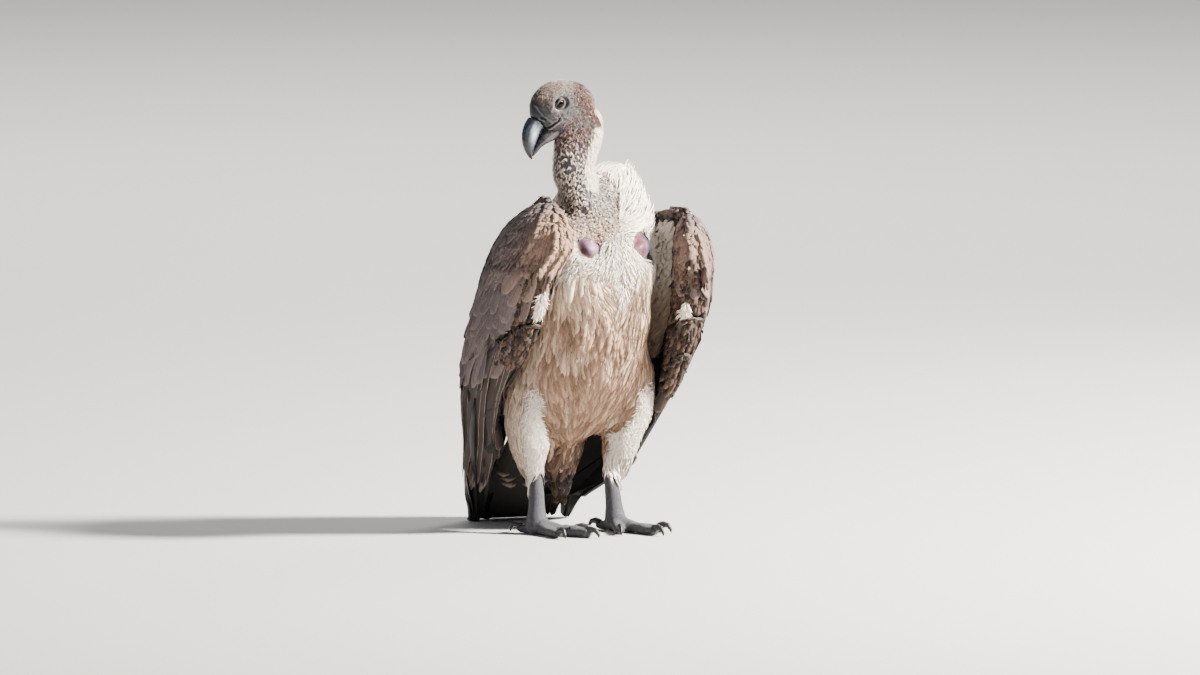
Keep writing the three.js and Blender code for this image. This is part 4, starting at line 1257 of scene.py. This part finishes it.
# Two small tufts of white down break the leading edge of each wing below the wrist.
for side, sign in WINGS.items():
    wing = wing_lands[side]
    x, down_at, half_down = (123, 137, 12) if sign > 0 else (113, 112, 20)
    near = wing["middle"] * [sign, 1, 1]
    tuft = ((np.abs(near[:, 0] - x) < 14) & (np.abs(wing_place(wing["middle"])[0] - down_at) < 40)
            & (wing["facing"][:, 1] < -0.2))
    roots = sown(wing, 0.7 * tuft)
    body = in_body(roots)
    reach = (np.hypot((body[:, 0] * sign - x) / 6, (wing_place(body)[0] - down_at) / half_down)
             + lot(len(roots), -0.25, 0.25))
    roots = roots[reach < 1]
    locks(f"wing_{side}_white_tufts", roots, wing_lie, lot(len(roots), 6, 11), lot(len(roots), 0.6, 1.1),
          FOUR, whites(0.9, 1.05), down_white, stand=lot(len(roots), 0.3, 0.7), curl=-0.3,
          stray=0.5, base=3.0, root=0.85, land=wing)

# ---- Ruff and neck ----
# White lanceolate feathers stand up behind the neck. The neck itself is dark bare skin with small cream tufts
# in front and a stripe of dense white down along the nape.
ruff_centre = np.array([14.0, -30.0, 425.0])


def ruff_lie(body, normal):
    return (unit(body - ruff_centre) * 0.8 + np.array([0.35, 0.15, 0.55]) - 0.1 * normal
            + 0.12 * waves(body, 15)[:, None])


def ruff_tone(body):
    tone = whites(0.93, 1.1)(body)
    return mix(tone, [0.50, 0.35, 0.27],
               0.45 * step(24, 8, nearness(body, [(8, -30, 470), (14, -20, 520)])[0]))


SEVEN = [0, 0.18, 0.36, 0.54, 0.72, 0.88, 1]
gap = nearness(middle, [(20, -64, 505), (34, -72, 482), (30, -82, 462)])[0]
on_ruff = (~((middle[:, 0] < -5) & (middle[:, 2] > 446))
           * (on["ruff"] | (on["trunk"] & (middle[:, 2] > 425))) * (1 - bare) * (gap > 5) * ~throat)
roots = sown(land, 0.04 * on_ruff)
locks("ruff_feathers", roots, ruff_lie, lot(len(roots), 24, 42), lot(len(roots), 1.4, 2.8),
      SEVEN, ruff_tone, down_white, stand=lot(len(roots), 0.06, 0.28), curl=0.1, stray=0.18,
      base=1.0, root=0.66, twist=0.22, columns=(-1, 0, 1), clear_of=open_skin)
roots = sown(land, 0.13 * on_ruff)
locks("ruff_down", roots, ruff_lie, lot(len(roots), 14, 24), lot(len(roots), 0.6, 1.2), FOUR, ruff_tone,
      down_white, stand=lot(len(roots), 0.06, 0.25), stray=0.2, base=2.0, root=0.85,
      twist=0.2, thick=0.25, clear_of=open_skin)


def neck_lie(body, normal):
    way = np.zeros_like(body)
    way[:, 2] = -1
    way[:, 0] = 0.15 + 0.5 * step(500, 450, body[:, 2])
    way[:, 1] = -0.3 * step(500, 450, body[:, 2])
    return way


def nape_share(body, facing):
    """1 on the white stripe down the back of the neck."""
    return step(0.2, 0.42, facing[:, 0] - 0.15 * step(560, 600, body[:, 2]))


behind_head = on["head"] & (in_head(middle)[:, 0] < -40)
nape = nape_share(middle, facing) * (on["neck"] | behind_head) * (middle[:, 2] < 612)
roots = sown(land, 0.3 * nape)
locks("nape_down", roots, neck_lie, lot(len(roots), 6, 11), lot(len(roots), 0.45, 0.9), FOUR,
      whites(0.94, 1.1), down_white, stand=lot(len(roots), 0.12, 0.4), curl=-0.3,
      stray=0.3, base=1.2, root=0.8)
roots = sown(land, 0.08 * step(0.02, 0.2, throat_share(middle)) * ~on["neck"] * step(462, 436, middle[:, 2]))
locks("throat_down", roots, neck_lie, lot(len(roots), 5, 9), lot(len(roots), 0.5, 1.0), FOUR,
      lambda body: mix(CREAM * 0.6, CREAM, step(444, 430, body[:, 2])) * lot(len(body), 0.6, 1.15)[:, None],
      down_white, stand=lot(len(roots), 0.08, 0.3), stray=0.35, base=0.8, root=0.75)
high = step(500, 560, middle[:, 2])
front_neck = np.clip(on["neck"] * (1 - nape_share(middle, facing)) + throat, 0, 1)
patchy = 0.55 + 0.45 * np.clip(waves(middle, 6) + waves(middle + 30, 13), -1, 1)
clumps = thinned(sown(land, 0.3 * front_neck * patchy * (1 - 0.8 * high)), 4.5)
tufts = np.repeat(clumps, 6, axis=0) + rng.normal(0, 0.0007, (len(clumps) * 6, 3))


def tuft_tone(body):
    tone = mix([0.36, 0.27, 0.21], [0.84, 0.74, 0.62], lot(len(body), 0, 1))
    tone = mix(tone, CREAM * 0.9, step(450, 430, body[:, 2]) * 0.7)
    return mix(tone, [0.16, 0.065, 0.05], step(545, 585, body[:, 2]) * lot(len(body), 0.5, 1))


locks("neck_tufts", tufts, neck_lie, lot(len(tufts), 3.2, 6.8), lot(len(tufts), 0.45, 1.0),
      FOUR, tuft_tone, down_white, stand=lot(len(tufts), 0.15, 0.6), curl=-0.2, stray=0.6, base=0.4,
      root=0.6, thick=0.2)

# Rust-brown bristles cover the top of the neck and curve round the back of the cheek.
face = in_head(middle)
rust = on["neck"] * (1 - nape_share(middle, facing)) * step(540, 575, middle[:, 2])
rust = np.maximum(rust, on["head"] * step(-20, -30, face[:, 0] + np.maximum(face[:, 2] + 4, 0) * 0.5)
                  * step(14, 2, face[:, 2]))
rust = np.maximum(rust, 0.6 * on["head"] * step(-15, -24, face[:, 2]) * step(18, 6, face[:, 0]))
rust *= 1 - nape_share(middle, facing) * (face[:, 0] < -42)
roots = sown(land, 0.3 * rust)


def rust_tone(body):
    tone = mix([0.022, 0.011, 0.010], [0.17, 0.070, 0.050], lot(len(body), 0, 1) ** 1.5)
    return np.where((lot(len(body), 0, 1) < 0.1)[:, None], [0.42, 0.32, 0.27], tone)


locks("rust_bristles", roots, neck_lie, lot(len(roots), 3.5, 7.5), lot(len(roots), 0.25, 0.6), FOUR,
      rust_tone, down_white, stand=lot(len(roots), 0.15, 0.55), curl=-0.2, stray=0.5, base=0.3,
      root=0.7, thick=0.15)

# ---- Feathers under the tail ----
# Long loose feathers hang from the belly behind the legs, brown at the top and nearly black near the ground.
# They are thin soft vanes with blunt ends, laid over each other straight down.


def undertail_lie(body, normal):
    way = np.zeros_like(body)
    way[:, 2] = -1
    way[:, 1] = 0.3
    return way


hanging = ((on["undertail"] | (on["trunk"] & (middle[:, 2] < 170) & (middle[:, 1] > 15)))
           & (middle[:, 2] > 34))
roots = thinned(sown(land, 0.06 * hanging), 6.5)
locks("undertail_feathers", roots, undertail_lie, lot(len(roots), 34, 50), lot(len(roots), 5.0, 7.5),
      SIX, lambda body: mix([0.16, 0.09, 0.06], [0.012, 0.008, 0.007],
                            np.clip(step(160, 90, body[:, 2]) * lot(len(body), 0.4, 1.3), 0, 1)),
      covert_vane, stand=lot(len(roots), 0.04, 0.14), stray=0.2, base=0.8, columns=(-1, 0, 1),
      shape=lambda t: rounded(t, 0.5), twist=0.3)


# ---- Head down ----
# Short hair-like down covers the head behind the cere, longest and reddest behind the cheek. Each hair is a
# fine blade that leans back over the skin.
def head_lie(body, normal):
    head = in_head(body)
    return np.tile(-HEAD_AXES[0], (len(body), 1)) - HEAD_AXES[2] * 0.35 * step(0, -40, head[:, 0])[:, None]


def head_tone(body):
    head = in_head(body)
    tone = mix([0.072, 0.06, 0.063], [0.12, 0.088, 0.074], step(8, 26, head[:, 2]))
    tone = mix(tone, [0.36, 0.29, 0.24], step(-12, -40, head[:, 0]) * step(10, 26, head[:, 2]))
    tone = mix(tone, [0.13, 0.05, 0.038], 0.8 * step(-18, -32, head[:, 0]) * step(22, 5, head[:, 2]))
    return tone * (lot(len(body), 0.3, 1.9) * (1 + 0.35 * waves(body, 3)))[:, None]


face = in_head(middle)
eye_reach = np.hypot((face[:, 0] + 5) / 1.1, face[:, 2] - 7.5)
hairy = on["head"] * step(22, 10, face[:, 0]) * step(12, 16, eye_reach)
for half_name, side_of in (("right", face[:, 1] < 0), ("left", face[:, 1] >= 0)):
    roots = sown(land, 0.4 * hairy * side_of)
    coarse = 1 + 1.4 * (lot(len(roots), 0, 1) < 0.2)
    locks(f"head_down_{half_name}", roots, head_lie, lot(len(roots), 1.8, 3.4) * coarse,
          lot(len(roots), 0.14, 0.26) * coarse, (0, 0.5, 1), head_tone, down_white,
          stand=lot(len(roots), 0.06, 0.3), stray=0.35, base=0.05, thick=0.08, root=0.8)

# ---- Bill ----
# The bill is two sheaths of dark horn, the upper hooked over the lower. Each is the solid grown smooth. The
# upper has a pale line along its cutting edge and a painted highlight on each side; both have fine growth
# lines and a deep polish.


def grown(nodes, name, voxel, rounds):
    """A copy of the solids as one smooth skin of even small faces."""
    piece = joined_copy(nodes, name)
    modifier(piece, "DISPLACE", strength=0.0005, mid_level=0)
    modifier(piece, "REMESH", mode="VOXEL", voxel_size=voxel)
    points = averaged(read(piece), edges_of(piece), rounds, 0.5)
    write(piece, points)
    smooth(piece)
    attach(piece, "root")
    return piece


def bill_tone(head, upper):
    forward, side, up = head.T
    # A painted highlight lies on each side of the upper sheath; the lower keeps its own tones.
    tone = mix([0.016, 0.021, 0.034], [0.42, 0.46, 0.52],
               0.9 * np.exp(-((forward - 49) / 9) ** 2 - ((up + 2 + (forward - 49) * 0.75) / 6) ** 2)
               * step(3, 8, np.abs(side)))
    tone = mix(tone, [0.005, 0.005, 0.007], step(56, 70, forward))
    if upper:
        edge = along(head, [(31, -8.4), (40, -11), (50, -17), (58, -22), (66, -27)], 1.3)
        edge = edge * step(2, 5, np.abs(side))
        return mix(tone, [0.40, 0.40, 0.42], 0.8 * edge)
    return mix([0.012, 0.012, 0.015], [0.045, 0.042, 0.046], step(46, 34, forward))


horn_material, tree, shader = start_material("horn", 0.24, 0.0, 0.6)
tone = wire(tree, "ShaderNodeAttribute", attribute_name="tone")
spot = wire(tree, "ShaderNodeTexCoord").outputs["Object"]
cloud = wire(tree, "ShaderNodeTexNoise",
             {"Vector": spot, "Scale": 190.0, "Detail": 4.0, "Roughness": 0.6}).outputs["Fac"]
stretched = wire(tree, "ShaderNodeMapping", {0: spot, "Scale": (160.0, 700.0, 160.0)}).outputs[0]
lines = wire(tree, "ShaderNodeTexNoise", {"Vector": stretched, "Scale": 2.0, "Detail": 3.0}).outputs["Fac"]
shade = ramp(tree, cloud, 0.3, 0.7, 0.75, 1.3)
tree.links.new(dimmed(tree, tone.outputs["Color"], shade), shader.inputs["Base Color"])
tree.links.new(ramp(tree, cloud, 0.3, 0.75, 0.18, 0.36), shader.inputs["Roughness"])
bump = wire(tree, "ShaderNodeBump", {"Height": lines, "Strength": 0.12, "Distance": 0.0004})
tree.links.new(bump.outputs[0], shader.inputs["Normal"])

for node in ("bill_upper", "bill_lower"):
    piece = grown([node], node + "_horn", 0.0008, 8)
    head = in_head(in_body(read(piece)))
    set_tone(piece, bill_tone(head, node == "bill_upper"))
    piece.data.materials.append(horn_material)
    unwrap(piece)
    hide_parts(node)

# ---- Eyes and lids ----
# The eye is a dark brown glass ball with a raised cornea. The lids are folds of grey skin drawn over it, with
# a thin pale rim, the upper one slanting down towards the bill.
eye_material, tree, shader = start_material("eye_glass", 0.05, 0.0, 0.12)
spot = wire(tree, "ShaderNodeAttribute", attribute_name="tone").outputs["Color"]
tree.links.new(spot, shader.inputs["Base Color"])
shader.inputs["Coat Weight"].default_value = 0.03
shader.inputs["Coat Roughness"].default_value = 0.02
RIM = 44
skin_land = ground(skin)
for side, sign in WINGS.items():
    bpy.ops.object.select_all(action="DESELECT")
    mirror = np.array([1, sign, 1])
    centre = HEAD_MIDDLE + (EYE * mirror) @ HEAD_AXES
    bpy.ops.mesh.primitive_uv_sphere_add(segments=48, ring_count=32, radius=0.009, location=place(centre))
    ball = bpy.context.object
    ball.name = ball.data.name = f"eye_{side}_glass"
    bpy.ops.object.transform_apply(location=True)
    points = in_body(read(ball)) - centre
    axis = (np.array([0.0, 1.0, 0.06]) * mirror) @ HEAD_AXES
    toward = unit(points) @ unit(axis)
    points *= (1 + 0.05 * step(0.75, 0.95, toward))[:, None]
    write(ball, (points + centre + FEET_MIDDLE) * 0.001)
    iris = mix([0.012, 0.0065, 0.0045], [0.001, 0.001, 0.001], step(0.9, 0.93, toward))
    iris = mix(iris, [0.003, 0.0025, 0.0025], step(0.78, 0.7, toward))
    set_tone(ball, iris)
    smooth(ball)
    ball.data.materials.append(eye_material)
    unwrap(ball)
    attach(ball, "root")
    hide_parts(f"eye_{side}")

    turn = np.linspace(0, 2 * np.pi, RIM, endpoint=False)
    along_f, along_u = np.cos(turn), np.sin(turn)
    slope = np.where(along_u > 0, -0.1, -0.05)
    high = np.where(along_u > 0, 3.9 * np.abs(along_u) ** 0.6, -5.2 * np.abs(along_u) ** 0.85)
    open_f = 7.9 * along_f
    open_u = high + slope * open_f * np.abs(along_u) + 0.2
    rings, tones = [], []
    # Painted shade darkens the lids where they meet the ball and in the fold just outside the pale rim.
    for reach, lift, tone in ((0.93, 9.1, (0.006, 0.005, 0.005)), (0.97, 9.6, (0.03, 0.026, 0.027)),
                              (1.04, 9.95, (0.085, 0.076, 0.078)), (1.12, 9.8, (0.035, 0.03, 0.032)),
                              (1.22, 9.45, (0.010, 0.009, 0.010))):
        f, u = open_f * reach, open_u * reach
        shell = EYE[1] + np.sqrt(np.maximum(lift ** 2 - f * f - u * u, 0.5))
        out = np.maximum(shell, socket_depth(np.hypot(f, u / 0.85)) + 0.5)
        rings.append(np.stack([EYE[0] + f, out, EYE[2] + u], axis=1))
        tones.append(np.tile(tone, (RIM, 1)))
    for reach, sunk, tone in ((1.38, -0.35, (0.05, 0.042, 0.046)), (1.56, -0.1, (0.032, 0.028, 0.03)),
                              (1.72, 0.8, (0.03, 0.026, 0.028))):
        f, u = open_f * reach, open_u * reach
        guess = np.stack([EYE[0] + f, EYE[1] + np.full(RIM, 5.5), EYE[2] + u], axis=1)
        spots, normals, _ = touch(skin_land, from_head(guess * mirror))
        rings.append(in_head(in_body(spots - normals * sunk * 0.001)) * mirror)
        tones.append(np.tile(tone, (RIM, 1)))
    rings, tones = np.array(rings), np.array(tones)
    mesh = bpy.data.meshes.new(f"lids_{side}")
    count = len(rings)
    world = from_head(rings.reshape(-1, 3) * mirror)
    faces = [(k * RIM + i, k * RIM + (i + 1) % RIM, (k + 1) * RIM + (i + 1) % RIM, (k + 1) * RIM + i)
             for k in range(count - 1) for i in range(RIM)]
    mesh.from_pydata(world.tolist(), [], faces if sign < 0 else [f[::-1] for f in faces])
    lids = bpy.data.objects.new(f"lids_{side}", mesh)
    bpy.context.collection.objects.link(lids)
    set_tone(lids, tones.reshape(-1, 3))
    bpy.ops.object.select_all(action="DESELECT")
    lids.select_set(True)
    modifier(lids, "SUBSURF", levels=1)
    modifier(lids, "SOLIDIFY", thickness=0.0003, offset=-1)
    lids.data.attributes.new(name="sheen", type="FLOAT", domain="POINT")
    shine = np.full(len(lids.data.vertices), 0.5, dtype=np.float32)
    lids.data.attributes["sheen"].data.foreach_set("value", shine)
    smooth(lids)
    lids.data.materials.append(skin_material)
    unwrap(lids)
    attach(lids, "root")

# ---- Claws ----
# Curved black horn on the end of each toe, smooth and pointed, and worn a little dull. Each is the solid of
# its claw grown into one smooth skin.
claw_material, tree, shader = start_material("claw_horn", 0.42, 0.0, 0.35)
tone = wire(tree, "ShaderNodeAttribute", attribute_name="tone").outputs["Color"]
spot = wire(tree, "ShaderNodeTexCoord").outputs["Object"]
wear = wire(tree, "ShaderNodeTexNoise", {"Vector": spot, "Scale": 420.0, "Detail": 3.0}).outputs["Fac"]
tree.links.new(mixed(tree, ramp(tree, wear, 0.45, 0.75, 0.0, 0.35), tone, (0.06, 0.056, 0.06)),
               shader.inputs["Base Color"])
for side in WINGS:
    for toe in TOES:
        node = f"claw_{side}_{toe}"
        piece = grown([node], node + "_horn", 0.0007, 4)
        points = in_body(read(piece))
        set_tone(piece, mix([0.014, 0.013, 0.015], [0.004, 0.004, 0.005], step(12, 3, points[:, 2])))
        piece.data.materials.append(claw_material)
        unwrap(piece)
        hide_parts(node)
